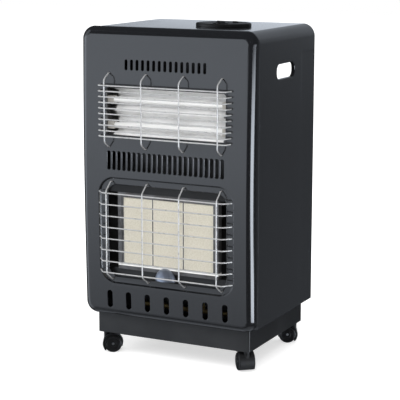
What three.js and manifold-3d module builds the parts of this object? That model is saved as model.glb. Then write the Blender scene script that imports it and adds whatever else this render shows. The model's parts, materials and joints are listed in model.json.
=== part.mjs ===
// A dual-fuel cabinet heater on castors: a sheet-steel cabinet that holds a gas bottle, a gas burner with three
// ceramic plaques behind the lower guard, and two quartz heating tubes behind the upper guard.
//
// Millimetres, +Z up. X is the width. Y = 0 is the plane of the fascia's front at its top and bottom edges, and Y
// grows towards the back. The finished group is moved so that its origin is under the middle of the heater.

import * as THREE from 'three';
import { mergeVertices } from 'three/addons/utils/BufferGeometryUtils.js';
import Module from 'manifold-3d';

const wasm = await Module();
wasm.setup();

// ---------------------------------------------------------------- driving sizes

const gap = 0.3;               // clearance between pieces that touch
const sheet = 1.2;             // sheet steel of the cabinet

const cabinet = {
  width: 420,
  depth: 320,                  // fascia plane to the back edge of the wrap
  top: 738,                    // top face of the wrap
  bottom: 103.3,               // foot of the wrap
  edgeRadius: 28,              // bend between side and top
  frontFlange: 12,
  rearFlange: 30,
  footFlange: 21,
  stepAt: 245,                 // pressed step in the rear part of each side
  stepTop: 680,
  stepDepth: 1,
};

const fascia = {
  top: 740,
  bottom: 96,
  depth: 19,
  corner: 28,
  edge: 17,                    // rounding of the drawn edge
  bow: 8,                      // the face stands this much further forward at mid height
};

const handle = { y: 157.5, z: 647, length: 95, height: 32, corner: 14, rim: 7 };

const upperSlots = { count: 15, pitch: 13.5, z: 660, height: 22, width: 5.5, steps: 2 };
const middleSlots = { count: 23, pitch: 12.5, z: 450.5, height: 41, width: 7.5, steps: 3 };
const lowerSlots = { count: 7, pitch: 47.4, z: 136, height: 39, width: 12, steps: 4 };

const recess = { half: 164, low: 173, high: 412.5, corner: 38, slope: 8, depth: 4 };
const burnerWindow = { half: 144.5, low: 188.5, high: 396, corner: 24, hem: 3 };
const tubeWindow = { half: 144, low: 507, high: 609, corner: 6, hem: 4 };

const wire = { diameter: 3, weld: 0.5, bend: 3, sides: 6, holeDiameter: 4.4 };
const guardStandoff = 28;      // front wires ahead of the fascia plane
const lowerGuard = {
  uprights: [-134, -44.7, 44.7, 134], low: 200, high: 385, footLow: 182.5, footHigh: 403,
  rails: 8, railLow: 202, railHigh: 380, railReach: 146, endReach: 161.5,
};
const upperGuard = {
  uprights: [-136, -45.3, 45.3, 136], low: 492, high: 629, footLow: 480, footHigh: 641,
  rails: 10, railLow: 505, railHigh: 615.5, railReach: 152, endReach: 158,
};

const reflector = {
  low: 503, high: 613, ridge: 12, depth: 36, sheet: 1, half: 147.5, flange: 7, troughTurn: 12,
};
const tube = { diameter: 13, wall: 1.4, half: 137, y: 13, lowZ: 526, highZ: 582, coil: 7 };
const tubeCap = { size: 16, length: 22, grip: 6, lead: 4 };

const plaque = { width: 73, low: 219, high: 369.5, thickness: 13, y: 8, spacing: 2 };
const burnerFrame = { half: 123, low: 206.5, high: 379, lip: 1.5, rimRise: 1.6, rimWidth: 9, mullion: 2 };
const burnerBox = { seat: 3, plenum: 24, divider: 1.4, sheet: 1.2 };
const hood = { half: 152, sheet: 1, top: 409, turn: 398, flange: 11 };
const shelf = {
  half: 141, z: 190.5, sheet: 1, foot: 176, tongueLeft: -36, tongueRight: 26, tongueReach: -10, webY: 14,
};
const pilotShield = { x: -5, halfWidth: 25, reach: 14, height: 27, sheet: 1 };
const pilot = { burnerX: -13, burnerDiameter: 7, height: 15, y: 0.2, electrodeX: 4, sensorX: -3 };

const mixingTube = { diameter: 21, wall: 1.2, mouth: 27, flare: 14, low: 148 };
const injector = { diameter: 8, tip: 3, top: 143 };
const rail = { z: 125, diameter: 12, left: -90, right: 134, footWidth: 14, footSheet: 2 };

const shield = { y: 58, low: 104.9, high: 682, sideRoom: 2.3, flange: 14 };

const tray = {
  sideInset: 21, front: 25, backInset: 7, floor: 47, top: 103, sheet: 1.5, rim: 7, socket: 15, socketTop: 60,
};
const trayVents = { count: 5, pitch: 50, length: 120, width: 12 };

const cover = {
  sideInset: 7, low: 104, high: 600, corner: 10, bulge: 40, draft: 26, baseInset: 22, edge: 12,
  slots: 9, slotPitch: 26, slotWidth: 7, slotHeight: 34, slotInset: 62, tongueX: 110, tongueWidth: 30, tongueReach: 9,
};
const screw = { edgeInset: 11, topInset: 18, shank: 5, hole: 6.4, head: 17, headHeight: 10, length: 14 };

const bezel = {
  x: 60, y: 158, halfWidth: 63, halfDepth: 51, rise: 7, round: 3, plug: 6, skirt: 12, wall: 2.5,
};
const knob = {
  y: 143, diameter: 36, well: 40, wellFloor: 3.4, thickness: 5.2, travel: 3.5, barWidth: 12, barRise: 4, stem: 9,
};
const valve = { width: 36, depth: 34, height: 34, bore: 19, rotor: 18.2, floor: 6 };
const rockers = { offset: 19, y: 182, width: 12, length: 17, play: 1.6, rise: 3, swing: 16, pivotDrop: 3 };
const switchBlock = { depth: 22, wall: 2 };
const inlet = { thread: 12, nozzle: 8.5, bore: 5, length: 40 };
const gasPipe = { diameter: 8, sideInset: 32, y: 47, bend: 14 };
const pilotPipe = { diameter: 4, sideInset: 44, y: 52, lowY: 18, endY: 9.4, turnIn: 26, drop: 10, bend: 8 };
const gland = { x: -120, z: 660, hole: 16.5, body: 15.6, collar: 24, nose: 24, bore: 7 };

const castor = {
  sideInset: 13, frontInset: 14, backInset: 14, trail: 15, wheel: 40, wheelWidth: 11.5, web: 12,
  hoodGap: 1.6, hoodSheet: 2.2, hoodLow: 5, hoodTail: 9, hub: 13, axle: 6, stem: 10, headWidth: 13.5, headHeight: 2.5,
  running: 0.05, play: 0.6,
};
// How each castor stands in the photograph, as a turn of its hood about the upright stem, in degrees.
const castorTurn = { front_left: 207, front_right: -50, rear_left: 150, rear_right: 26 };

// ---------------------------------------------------------------- solids

// three.js geometry to a solid, and back.
function solid(geometry) {
  const bare = new THREE.BufferGeometry();
  bare.setAttribute('position', geometry.getAttribute('position'));
  bare.setIndex(geometry.getIndex());
  const merged = mergeVertices(bare, 1e-3);
  return new wasm.Manifold(new wasm.Mesh({
    numProp: 3,
    vertProperties: new Float32Array(merged.getAttribute('position').array),
    triVerts: new Uint32Array(merged.getIndex().array),
  }));
}

function surface(made) {
  const mesh = made.getMesh();
  const points = new Float32Array(mesh.numVert * 3);
  for (let i = 0; i < mesh.numVert; i += 1) {
    for (let axis = 0; axis < 3; axis += 1) {
      points[i * 3 + axis] = mesh.vertProperties[i * mesh.numProp + axis];
    }
  }
  const geometry = new THREE.BufferGeometry();
  geometry.setAttribute('position', new THREE.BufferAttribute(points, 3));
  geometry.setIndex(new THREE.BufferAttribute(new Uint32Array(mesh.triVerts), 1));
  return geometry;
}

function join(...parts) {
  return parts.reduce((sum, part) => sum.add(part));
}

function cut(body, ...tools) {
  return tools.reduce((rest, tool) => rest.subtract(tool), body);
}

// A block between two values on each axis.
function block(x, y, z) {
  const geometry = new THREE.BoxGeometry(x[1] - x[0], y[1] - y[0], z[1] - z[0]);
  geometry.translate((x[0] + x[1]) / 2, (y[0] + y[1]) / 2, (z[0] + z[1]) / 2);
  return solid(geometry);
}

// A shape drawn in (x, z) and pushed along y, or drawn in (y, z) and pushed along x.
function alongY(shape, y, curveSegments = 4) {
  const geometry = new THREE.ExtrudeGeometry(shape, { depth: y[1] - y[0], bevelEnabled: false, curveSegments });
  geometry.rotateX(Math.PI / 2);
  geometry.translate(0, y[1], 0);
  return solid(geometry);
}

function alongX(shape, x, curveSegments = 4) {
  const geometry = new THREE.ExtrudeGeometry(shape, { depth: x[1] - x[0], bevelEnabled: false, curveSegments });
  const axes = [new THREE.Vector3(0, 1, 0), new THREE.Vector3(0, 0, 1), new THREE.Vector3(1, 0, 0)];
  geometry.applyMatrix4(new THREE.Matrix4().makeBasis(...axes));
  geometry.translate(x[0], 0, 0);
  return solid(geometry);
}

// A shape drawn in (x, y) and pushed up.
function alongZ(shape, z, curveSegments = 4) {
  const geometry = new THREE.ExtrudeGeometry(shape, { depth: z[1] - z[0], bevelEnabled: false, curveSegments });
  geometry.translate(0, 0, z[0]);
  return solid(geometry);
}

// A round bar along one axis, centred on the other two.
function bar(axis, from, to, diameter, centre, sides = 12) {
  const geometry = new THREE.CylinderGeometry(diameter / 2, diameter / 2, to - from, sides);
  geometry.translate(0, (from + to) / 2, 0);
  if (axis === 'x') geometry.rotateZ(-Math.PI / 2);
  if (axis === 'z') geometry.rotateX(Math.PI / 2);
  geometry.translate(centre[0], centre[1], centre[2]);
  return solid(geometry);
}

// A turned piece, from radius and height pairs that start and end on the axis or close on themselves.
function turned(profile, sides, at = [0, 0, 0]) {
  const geometry = new THREE.LatheGeometry(profile.map(([r, h]) => new THREE.Vector2(r, h)), sides);
  geometry.rotateX(Math.PI / 2);
  geometry.translate(...at);
  return solid(geometry);
}

function polygon(points) {
  return new THREE.Shape(points.map(([u, v]) => new THREE.Vector2(u, v)));
}

function roundedRectangle(left, right, low, high, radius) {
  const shape = new THREE.Shape();
  shape.moveTo(left + radius, low);
  shape.lineTo(right - radius, low);
  shape.absarc(right - radius, low + radius, radius, -Math.PI / 2, 0);
  shape.lineTo(right, high - radius);
  shape.absarc(right - radius, high - radius, radius, 0, Math.PI / 2);
  shape.lineTo(left + radius, high);
  shape.absarc(left + radius, high - radius, radius, Math.PI / 2, Math.PI);
  shape.lineTo(left, low + radius);
  shape.absarc(left + radius, low + radius, radius, Math.PI, Math.PI * 1.5);
  return shape;
}

// A line of bends moved over to its right by a distance, with mitred corners.
function movedLine(line, distance) {
  const points = line.map(([u, v]) => new THREE.Vector2(u, v));
  return points.map((point, i) => {
    const before = point.clone().sub(points[Math.max(i - 1, 0)]).normalize();
    const after = points[Math.min(i + 1, points.length - 1)].clone().sub(point).normalize();
    const along = before.clone().add(after).normalize();
    const reach = distance / along.dot(i > 0 ? before : after);
    return [point.x + along.y * reach, point.y - along.x * reach];
  });
}

function foldedSheet(line, thickness) {
  return polygon([...line, ...movedLine(line, thickness).reverse()]);
}

// An upright slot with round ends, each end drawn in a few steps.
function slotShape(x, z, width, height, steps) {
  const points = [];
  for (const [end, start] of [[1, 0], [-1, Math.PI]]) {
    for (let i = 0; i <= steps; i += 1) {
      const angle = start + (Math.PI * i) / steps;
      const along = end * (height - width) / 2;
      points.push([x + (width / 2) * Math.cos(angle), z + along + (width / 2) * Math.sin(angle)]);
    }
  }
  return polygon(points);
}

function ellipseShape(x, y, halfWidth, halfDepth) {
  const shape = new THREE.Shape();
  shape.absellipse(x, y, halfWidth, halfDepth, 0, Math.PI * 2);
  return shape;
}

// How far the bowed face stands in front of the fascia plane at a height.
function bowAt(z) {
  const middle = (fascia.top + fascia.bottom) / 2;
  const share = (z - middle) / ((fascia.top - fascia.bottom) / 2);
  return fascia.bow * Math.max(0, 1 - share * share);
}

// A solid whose rings are rounded rectangles seen from the front, listed from front to back. Each ring has an
// outline, a distance behind the face, and the share of the bow that it follows. Its flat ends are made in level
// strips, so that they follow the bow too.
const arcSteps = 4;
const sideSteps = 8;

function ringPoints({ half, low, high, corner, back, bowed }) {
  const outline = [];
  for (let i = 0; i <= arcSteps; i += 1) {
    const angle = (Math.PI / 2) * (i / arcSteps);
    outline.push([half - corner + corner * Math.sin(angle), low + corner - corner * Math.cos(angle)]);
  }
  for (let i = 1; i < sideSteps; i += 1) {
    outline.push([half, low + corner + (high - low - 2 * corner) * (i / sideSteps)]);
  }
  for (let i = 0; i <= arcSteps; i += 1) {
    const angle = (Math.PI / 2) * (i / arcSteps);
    outline.push([half - corner + corner * Math.cos(angle), high - corner + corner * Math.sin(angle)]);
  }
  return outline.map(([x, z]) => [x, back - bowAt(z) * bowed, z]);
}

function dish(rings) {
  const rightSides = rings.map(ringPoints);
  const count = rightSides[0].length;
  const positions = rightSides.flatMap((points) => [
    ...points.flat(),
    ...points.flatMap(([x, y, z]) => [-x, y, z]),
  ]);
  const right = (ring, i) => ring * 2 * count + i;
  const left = (ring, i) => ring * 2 * count + count + i;
  const faces = [];
  const quad = (a, b, c, d) => faces.push(a, b, c, a, c, d);
  const last = rings.length - 1;
  for (let i = 0; i < count - 1; i += 1) {
    quad(left(0, i), right(0, i), right(0, i + 1), left(0, i + 1));
    quad(right(last, i), left(last, i), left(last, i + 1), right(last, i + 1));
    for (let ring = 0; ring < last; ring += 1) {
      quad(right(ring, i), right(ring + 1, i), right(ring + 1, i + 1), right(ring, i + 1));
      quad(left(ring, i), left(ring, i + 1), left(ring + 1, i + 1), left(ring + 1, i));
    }
  }
  for (let ring = 0; ring < last; ring += 1) {
    const end = count - 1;
    quad(left(ring, 0), left(ring + 1, 0), right(ring + 1, 0), right(ring, 0));
    quad(right(ring, end), right(ring + 1, end), left(ring + 1, end), left(ring, end));
  }
  const geometry = new THREE.BufferGeometry();
  geometry.setAttribute('position', new THREE.Float32BufferAttribute(positions, 3));
  geometry.setIndex(faces);
  return solid(geometry);
}

function inset({ half, low, high, corner }, amount) {
  return { half: half - amount, low: low + amount, high: high - amount, corner: Math.max(corner - amount, 0.5) };
}

// A wire or pipe: one section at every point of its route.
class Route extends THREE.Curve {
  constructor(points) {
    super();
    this.points = points.map((point) => new THREE.Vector3(...point));
  }

  getPoint(t, target = new THREE.Vector3()) {
    const last = this.points.length - 1;
    const i = Math.min(Math.floor(t * last + 1e-6), last - 1);
    return target.lerpVectors(this.points[i], this.points[i + 1], t * last - i);
  }

  getPointAt(t, target) {
    return this.getPoint(t, target);
  }

  getTangentAt(t, target = new THREE.Vector3()) {
    const last = this.points.length - 1;
    const i = Math.round(t * last);
    const here = this.points[i];
    const before = here.clone().sub(this.points[Math.max(i - 1, 0)]).normalize();
    const after = this.points[Math.min(i + 1, last)].clone().sub(here).normalize();
    return target.copy(before).add(after).normalize();
  }
}

function rod(points, diameter, sides = 8, turn = Math.PI / 2) {
  const ring = [];
  for (let i = 0; i < sides; i += 1) {
    const angle = turn + (2 * Math.PI * i) / sides;
    ring.push([(diameter / 2) * Math.cos(angle), (diameter / 2) * Math.sin(angle)]);
  }
  const extrudePath = new Route(points);
  const geometry = new THREE.ExtrudeGeometry(polygon(ring), { steps: points.length - 1, extrudePath });
  return solid(geometry);
}

// Corner points with each inner corner rounded by a bend.
function bent(corners, bend, steps = 3) {
  const points = corners.map((corner) => new THREE.Vector3(...corner));
  const route = [corners[0]];
  for (let i = 1; i < points.length - 1; i += 1) {
    const start = points[i].clone().add(points[i - 1].clone().sub(points[i]).setLength(bend));
    const end = points[i].clone().add(points[i + 1].clone().sub(points[i]).setLength(bend));
    const arc = new THREE.QuadraticBezierCurve3(start, points[i], end);
    route.push(...arc.getPoints(steps).map((point) => point.toArray()));
  }
  route.push(corners[corners.length - 1]);
  return route;
}

function evenly(count, low, high) {
  return Array.from({ length: count }, (_, i) => low + ((high - low) * i) / (count - 1));
}

function centred(count, pitch) {
  return evenly(count, -(pitch * (count - 1)) / 2, (pitch * (count - 1)) / 2);
}

// ---------------------------------------------------------------- materials

function finish(name, color, roughness, metalness) {
  const made = new THREE.MeshStandardMaterial({ color, roughness, metalness });
  made.name = name;
  return made;
}

const enamel = finish('gloss_black_enamel', 0x17181a, 0.15, 0.1);
const satinBlack = finish('satin_black_paint', 0x202123, 0.4, 0.1);
const greyPaint = finish('burner_grey', 0x4a4b4d, 0.5, 0.4);
const brightWire = finish('bright_wire', 0xc9cacc, 0.25, 1);
const mirror = finish('polished_aluminium', 0xe4e5e7, 0.12, 1);
const zinc = finish('zinc_steel', 0xa2a4a6, 0.4, 0.9);
const brass = finish('brass', 0xb89552, 0.35, 1);
const copper = finish('aluminium_pipe', 0xb5b7b9, 0.35, 1);
const quartz = finish('frosted_quartz', 0xf1f1ee, 0.45, 0);
const ceramic = finish('cream_ceramic', 0xd8d0ba, 0.85, 0);
const porcelain = finish('white_porcelain', 0xe6e2d8, 0.5, 0);
const resistanceWire = finish('resistance_wire', 0x6a6560, 0.6, 0.8);
const blackPlastic = finish('black_plastic', 0x151517, 0.35, 0);
const matteBlack = finish('matte_black_plastic', 0x1b1b1d, 0.6, 0);

const heater = new THREE.Group();

function add(name, made, material, parent = heater) {
  const mesh = new THREE.Mesh(made.isBufferGeometry ? made : surface(made), material);
  mesh.name = name;
  parent.add(mesh);
  return mesh;
}

// ---------------------------------------------------------------- fascia

const halfWidth = cabinet.width / 2;
const sides = [-1, 1];
const fasciaOutline = { half: halfWidth, low: fascia.bottom, high: fascia.top, corner: fascia.corner };

// The drawn pan: a rounded edge from the face to the rim, and the face itself. The inner one is the same pan,
// smaller by the sheet, and runs out past the rim.
function pan(wall, rimBack) {
  const outline = inset(fasciaOutline, wall);
  const edge = fascia.edge - wall;
  const edgeSteps = 4;
  const rings = [];
  for (let i = 0; i <= edgeSteps; i += 1) {
    const angle = (Math.PI / 2) * (i / edgeSteps);
    const back = wall + edge * (1 - Math.cos(angle));
    rings.push({ ...inset(outline, edge * (1 - Math.sin(angle))), back, bowed: 1 - back / fascia.depth });
  }
  rings.push({ ...outline, back: rimBack, bowed: 0 });
  return dish(rings);
}

function windowCut(outline) {
  const { half, low, high, corner } = outline;
  const shape = roundedRectangle(-half, half, low, high, corner);
  return alongY(shape, [-guardStandoff, guardStandoff]);
}

// The edge of a window, turned back into the cabinet.
function hemRing(outline, from, length) {
  const outer = inset(outline, -sheet);
  return dish([
    { ...outer, back: from, bowed: 1 },
    { ...outer, back: from + sheet + length, bowed: 1 },
  ]);
}

function slots({ count, pitch, z, height, width, steps }) {
  return centred(count, pitch).map((x) => (
    alongY(slotShape(x, z, width, height, steps), [-guardStandoff, guardStandoff])
  ));
}

const wireHoles = [lowerGuard, upperGuard].flatMap(({ uprights, footLow, footHigh }) => (
  uprights.flatMap((x) => [footLow, footHigh].map((z) => (
    bar('y', -guardStandoff, guardStandoff, wire.holeDiameter, [x, 0, z], 8)
  )))
));

const recessFloor = inset(recess, recess.slope);
const recessHollow = dish([
  { ...recess, back: -fascia.bow, bowed: 1 },
  { ...recess, back: 0, bowed: 1 },
  { ...recessFloor, back: recess.depth, bowed: 1 },
]);
const recessBacking = dish([
  { ...inset(recess, -sheet), back: sheet / 2, bowed: 1 },
  { ...inset(recessFloor, -sheet), back: recess.depth + sheet, bowed: 1 },
]);

const frontPanel = cut(
  join(
    cut(pan(0, fascia.depth), pan(sheet, fascia.depth + sheet)),
    recessBacking,
    hemRing(burnerWindow, recess.depth, burnerWindow.hem),
    hemRing(tubeWindow, sheet / 2, tubeWindow.hem),
  ),
  recessHollow,
  windowCut(burnerWindow),
  windowCut(tubeWindow),
  ...slots(upperSlots),
  ...slots(middleSlots),
  ...slots(lowerSlots),
  ...wireHoles,
);
add('front_panel', frontPanel, enamel);

// ---------------------------------------------------------------- guards

// Each upright runs up the front of the guard and turns back through two holes in the panel. The rails lie
// behind the uprights, welded to them, and turn back towards the panel at both ends.
function guard({ uprights, low, high, footLow, footHigh, rails, railLow, railHigh, railReach, endReach }, faceBack) {
  const front = -guardStandoff;
  const railY = front + wire.diameter - wire.weld;
  const through = sheet + 2.4;
  const bars = uprights.map((x) => {
    const leg = (z) => [[x, faceBack - bowAt(z) - 3, z], [x, faceBack - bowAt(z) + through, z]];
    const [footIn, footEnd] = leg(footLow);
    const [headIn, headEnd] = leg(footHigh);
    const corners = [footEnd, footIn, [x, front, low], [x, front, high], headIn, headEnd];
    return rod(bent(corners, wire.bend, 2), wire.diameter, wire.sides, 0);
  });
  const across = evenly(rails, railLow, railHigh).map((z) => {
    const end = -bowAt(z) - wire.diameter / 2 - gap;
    const side = (sign) => [[sign * railReach, railY, z], [sign * endReach, end, z]];
    const [leftIn, leftEnd] = side(-1);
    const [rightIn, rightEnd] = side(1);
    return rod(bent([leftEnd, leftIn, rightIn, rightEnd], wire.bend, 2), wire.diameter, wire.sides);
  });
  return join(...bars, ...across);
}

add('lower_guard', guard(lowerGuard, recess.depth), brightWire);
add('upper_guard', guard(upperGuard, 0), brightWire);

// ---------------------------------------------------------------- cabinet wrap

const wrapFront = fascia.depth + gap;

// The folded sheet seen from the front: both sides and the top, with round upper edges.
function archShape(insetBy, foot) {
  const half = halfWidth - insetBy;
  const top = cabinet.top - insetBy;
  const radius = Math.max(cabinet.edgeRadius - insetBy, 3);
  const shape = new THREE.Shape();
  shape.moveTo(-half, foot);
  shape.lineTo(half, foot);
  shape.lineTo(half, top - radius);
  shape.absarc(half - radius, top - radius, radius, 0, Math.PI / 2);
  shape.lineTo(-half + radius, top);
  shape.absarc(-half + radius, top - radius, radius, Math.PI / 2, Math.PI);
  return shape;
}

const wrapSkin = cut(
  alongY(archShape(0, cabinet.bottom), [wrapFront, cabinet.depth], 6),
  alongY(archShape(sheet, cabinet.bottom - sheet), [wrapFront - sheet, cabinet.depth + sheet], 6),
);

function archFlange(width, y) {
  return cut(
    alongY(archShape(sheet / 2, cabinet.bottom), y, 6),
    alongY(archShape(width, cabinet.bottom - sheet), [y[0] - sheet, y[1] + sheet], 6),
  );
}

function footFlange(side) {
  const x = side > 0 ? [halfWidth - cabinet.footFlange, halfWidth - sheet / 2]
    : [-halfWidth + sheet / 2, -halfWidth + cabinet.footFlange];
  return block(x, [wrapFront, cabinet.depth], [cabinet.bottom, cabinet.bottom + sheet]);
}

function sideSpan(side, inner, outer) {
  return side > 0 ? [halfWidth - outer, halfWidth - inner] : [-halfWidth + inner, -halfWidth + outer];
}

// The rear part of each side is pressed in by a small step that stops below the handle.
function stepWall(side) {
  return block(
    sideSpan(side, sheet / 2, sheet + cabinet.stepDepth),
    [cabinet.stepAt - sheet, cabinet.depth],
    [cabinet.bottom, cabinet.stepTop + sheet],
  );
}

function stepHollow(side) {
  return block(
    sideSpan(side, -sheet, cabinet.stepDepth),
    [cabinet.stepAt, cabinet.depth + sheet],
    [cabinet.bottom - sheet, cabinet.stepTop],
  );
}

function handleShape(grow) {
  const { y, z, length, height, corner } = handle;
  return roundedRectangle(
    y - length / 2 - grow, y + length / 2 + grow, z - height / 2 - grow, z + height / 2 + grow, corner + grow,
  );
}

function handleRim(side) {
  return alongX(handleShape(sheet), sideSpan(side, sheet / 2, sheet + handle.rim));
}

function handleCut(side) {
  return alongX(handleShape(0), sideSpan(side, -sheet, 2 * sheet + handle.rim));
}

const bezelPlugShape = (grow) => ellipseShape(
  bezel.x, bezel.y, bezel.halfWidth - bezel.plug + grow, bezel.halfDepth - bezel.plug + grow,
);

function rearScrewHole(side, y) {
  return bar('y', y[0], y[1], screw.hole, [side * screwX, 0, screwZ], 8);
}

const screwX = halfWidth - cover.sideInset - screw.edgeInset;
const screwZ = cover.high - screw.topInset;
const wrap = cut(
  join(
    wrapSkin,
    archFlange(cabinet.frontFlange, [wrapFront, wrapFront + sheet]),
    archFlange(cabinet.rearFlange, [cabinet.depth - sheet, cabinet.depth]),
    ...sides.map(footFlange),
    ...sides.map(stepWall),
    ...sides.map(handleRim),
  ),
  ...sides.map(stepHollow),
  ...sides.map(handleCut),
  ...sides.map((side) => rearScrewHole(side, [cabinet.depth - 2 * sheet, cabinet.depth + sheet])),
  alongZ(bezelPlugShape(gap), [cabinet.top - 2 * sheet, cabinet.top + sheet], 8),
);
add('cabinet_wrap', wrap, enamel);

// ---------------------------------------------------------------- base tray

const trayHalf = halfWidth - tray.sideInset;
const trayBack = cabinet.depth - tray.backInset;
const castorX = trayHalf - castor.sideInset;
const castorSpots = {
  front_left: [-castorX, tray.front + castor.frontInset],
  front_right: [castorX, tray.front + castor.frontInset],
  rear_left: [-castorX, trayBack - castor.backInset],
  rear_right: [castorX, trayBack - castor.backInset],
};
const socketBore = castor.stem + 2 * castor.running + castor.play;

const trayBody = join(
  block([-trayHalf, trayHalf], [tray.front, trayBack], [tray.floor, tray.top]),
  block(
    [-trayHalf - tray.rim, trayHalf + tray.rim],
    [fascia.depth + 2 * gap, trayBack + tray.rim],
    [tray.top - tray.sheet, tray.top],
  ),
);
const trayHollow = block(
  [-trayHalf + tray.sheet, trayHalf - tray.sheet],
  [tray.front + tray.sheet, trayBack - tray.sheet],
  [tray.floor + tray.sheet, tray.top + tray.sheet],
);
const sockets = Object.values(castorSpots).map(([x, y]) => (
  bar('z', tray.floor + tray.sheet / 2, tray.socketTop, tray.socket, [x, y, 0], 12)
));
const socketBores = Object.values(castorSpots).map(([x, y]) => (
  bar('z', tray.floor - tray.sheet, tray.socketTop + tray.sheet, socketBore, [x, y, 0], 12)
));
const trayMiddle = (tray.front + trayBack) / 2;
const floorVents = centred(trayVents.count, trayVents.pitch).map((x) => block(
  [x - trayVents.width / 2, x + trayVents.width / 2],
  [trayMiddle - trayVents.length / 2, trayMiddle + trayVents.length / 2],
  [tray.floor - tray.sheet, tray.floor + 2 * tray.sheet],
));
add('base_tray', cut(join(cut(trayBody, trayHollow), ...sockets), ...socketBores, ...floorVents), satinBlack);

// ---------------------------------------------------------------- rear cover

const coverBack = cabinet.depth + gap;
const coverOutline = { half: halfWidth - cover.sideInset, low: cover.low, high: cover.high, corner: cover.corner };

// The pressed bulge of the cover, drafted inwards, with a rounded rear edge.
function coverBulge(wall) {
  const base = inset(coverOutline, cover.baseInset + wall);
  const rear = cover.bulge - wall - gap;
  const shoulder = inset(base, cover.draft - cover.edge);
  return dish([
    { ...base, back: coverBack - (wall > 0 ? sheet : 0), bowed: 0 },
    { ...inset(base, cover.draft / 4), back: coverBack + rear - cover.edge, bowed: 0 },
    { ...inset(shoulder, cover.edge * 0.35), back: coverBack + rear - cover.edge * 0.3, bowed: 0 },
    { ...inset(shoulder, cover.edge), back: coverBack + rear, bowed: 0 },
  ]);
}

const coverFlange = dish([
  { ...coverOutline, back: coverBack, bowed: 0 },
  { ...coverOutline, back: coverBack + sheet, bowed: 0 },
]);
const coverTongues = sides.map((side) => block(
  [side * cover.tongueX - cover.tongueWidth / 2, side * cover.tongueX + cover.tongueWidth / 2],
  [coverBack - cover.tongueReach, coverBack + sheet / 2],
  [tray.top + gap, tray.top + gap + sheet],
));
const tongueWebs = sides.map((side) => block(
  [side * cover.tongueX - cover.tongueWidth / 2, side * cover.tongueX + cover.tongueWidth / 2],
  [coverBack, coverBack + sheet],
  [tray.top + gap, cover.low + sheet],
));
const coverSlots = [cover.low + cover.slotInset, cover.high - cover.slotInset].flatMap((z) => (
  centred(cover.slots, cover.slotPitch).map((x) => alongY(
    slotShape(x, z, cover.slotWidth, cover.slotHeight, 2),
    [coverBack + cover.bulge / 2, coverBack + cover.bulge + sheet],
  ))
));
const rearCover = cut(
  join(cut(join(coverFlange, coverBulge(0)), coverBulge(sheet)), ...coverTongues, ...tongueWebs),
  ...coverSlots,
  ...sides.map((side) => rearScrewHole(side, [coverBack - sheet, coverBack + 2 * sheet])),
);
add('rear_cover', rearCover, enamel);

// A knurled thumb screw through the cover's flange and the wrap's rear flange.
function thumbScrew(side) {
  const seat = coverBack + sheet + gap;
  const centre = [side * screwX, 0, screwZ];
  return join(
    bar('y', seat, seat + screw.headHeight, screw.head, centre, 16),
    bar('y', seat - screw.length, seat + screw.headHeight / 2, screw.shank, centre, 8),
  );
}

add('cover_screw_left', thumbScrew(-1), blackPlastic);
add('cover_screw_right', thumbScrew(1), blackPlastic);

// ---------------------------------------------------------------- heat shield

const shieldHalf = halfWidth - sheet - shield.sideRoom;
const shieldBody = join(
  block([-shieldHalf, shieldHalf], [shield.y, shield.y + sheet], [shield.low, shield.high]),
  ...sides.map((side) => block(
    sideSpan(side, sheet + gap, 2 * sheet + shield.sideRoom),
    [shield.y, shield.y + shield.flange],
    [shield.low, shield.high],
  )),
);
const glandHole = bar('y', shield.y - sheet, shield.y + 2 * sheet, gland.hole, [gland.x, 0, gland.z], 12);
add('heat_shield', cut(shieldBody, glandHole), zinc);

// ---------------------------------------------------------------- reflector and heating tubes

// Two troughs with a ridge between them, drawn as a folded band in (y, z).
const windowBack = sheet + 2 * gap - bowAt(reflector.high + reflector.flange);
const ridgeZ = (reflector.low + reflector.high) / 2;

const troughLine = [[windowBack, reflector.low - reflector.flange], [windowBack, reflector.low]];
for (const [from, to, start, end] of [
  [reflector.low, ridgeZ, 0, reflector.ridge],
  [ridgeZ, reflector.high, reflector.ridge, 0],
]) {
  const middle = (from + to) / 2;
  const { depth, troughTurn } = reflector;
  troughLine.push([windowBack + start + (depth - start) * 0.72, from + (middle - from) * 0.36]);
  troughLine.push([windowBack + depth, middle - troughTurn]);
  troughLine.push([windowBack + depth, middle + troughTurn]);
  troughLine.push([windowBack + end + (depth - end) * 0.72, to - (to - middle) * 0.36]);
  troughLine.push([windowBack + end, to]);
}
troughLine.push([windowBack, reflector.high + reflector.flange]);

const troughBand = foldedSheet(troughLine, reflector.sheet);
const reflectorX = [-reflector.half, reflector.half];
const troughFill = polygon(movedLine(troughLine, reflector.sheet / 2).slice(1, -1));
const tubeLevels = { lower: tube.lowZ, upper: tube.highZ };
const troughEnds = sides.map((side) => cut(
  alongX(troughFill, side > 0 ? [reflector.half - reflector.sheet, reflector.half]
    : [-reflector.half, -reflector.half + reflector.sheet]),
  ...Object.values(tubeLevels).map((z) => block(
    side > 0 ? [reflector.half - 2 * reflector.sheet, reflector.half + reflector.sheet]
      : [-reflector.half - reflector.sheet, -reflector.half + 2 * reflector.sheet],
    [tube.y - tubeCap.size / 2 - gap, tube.y + tubeCap.size / 2 + gap],
    [z - tubeCap.size / 2 - gap, z + tubeCap.size / 2 + gap],
  )),
));
add('tube_reflector', join(alongX(troughBand, reflectorX), ...troughEnds), mirror);

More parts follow.
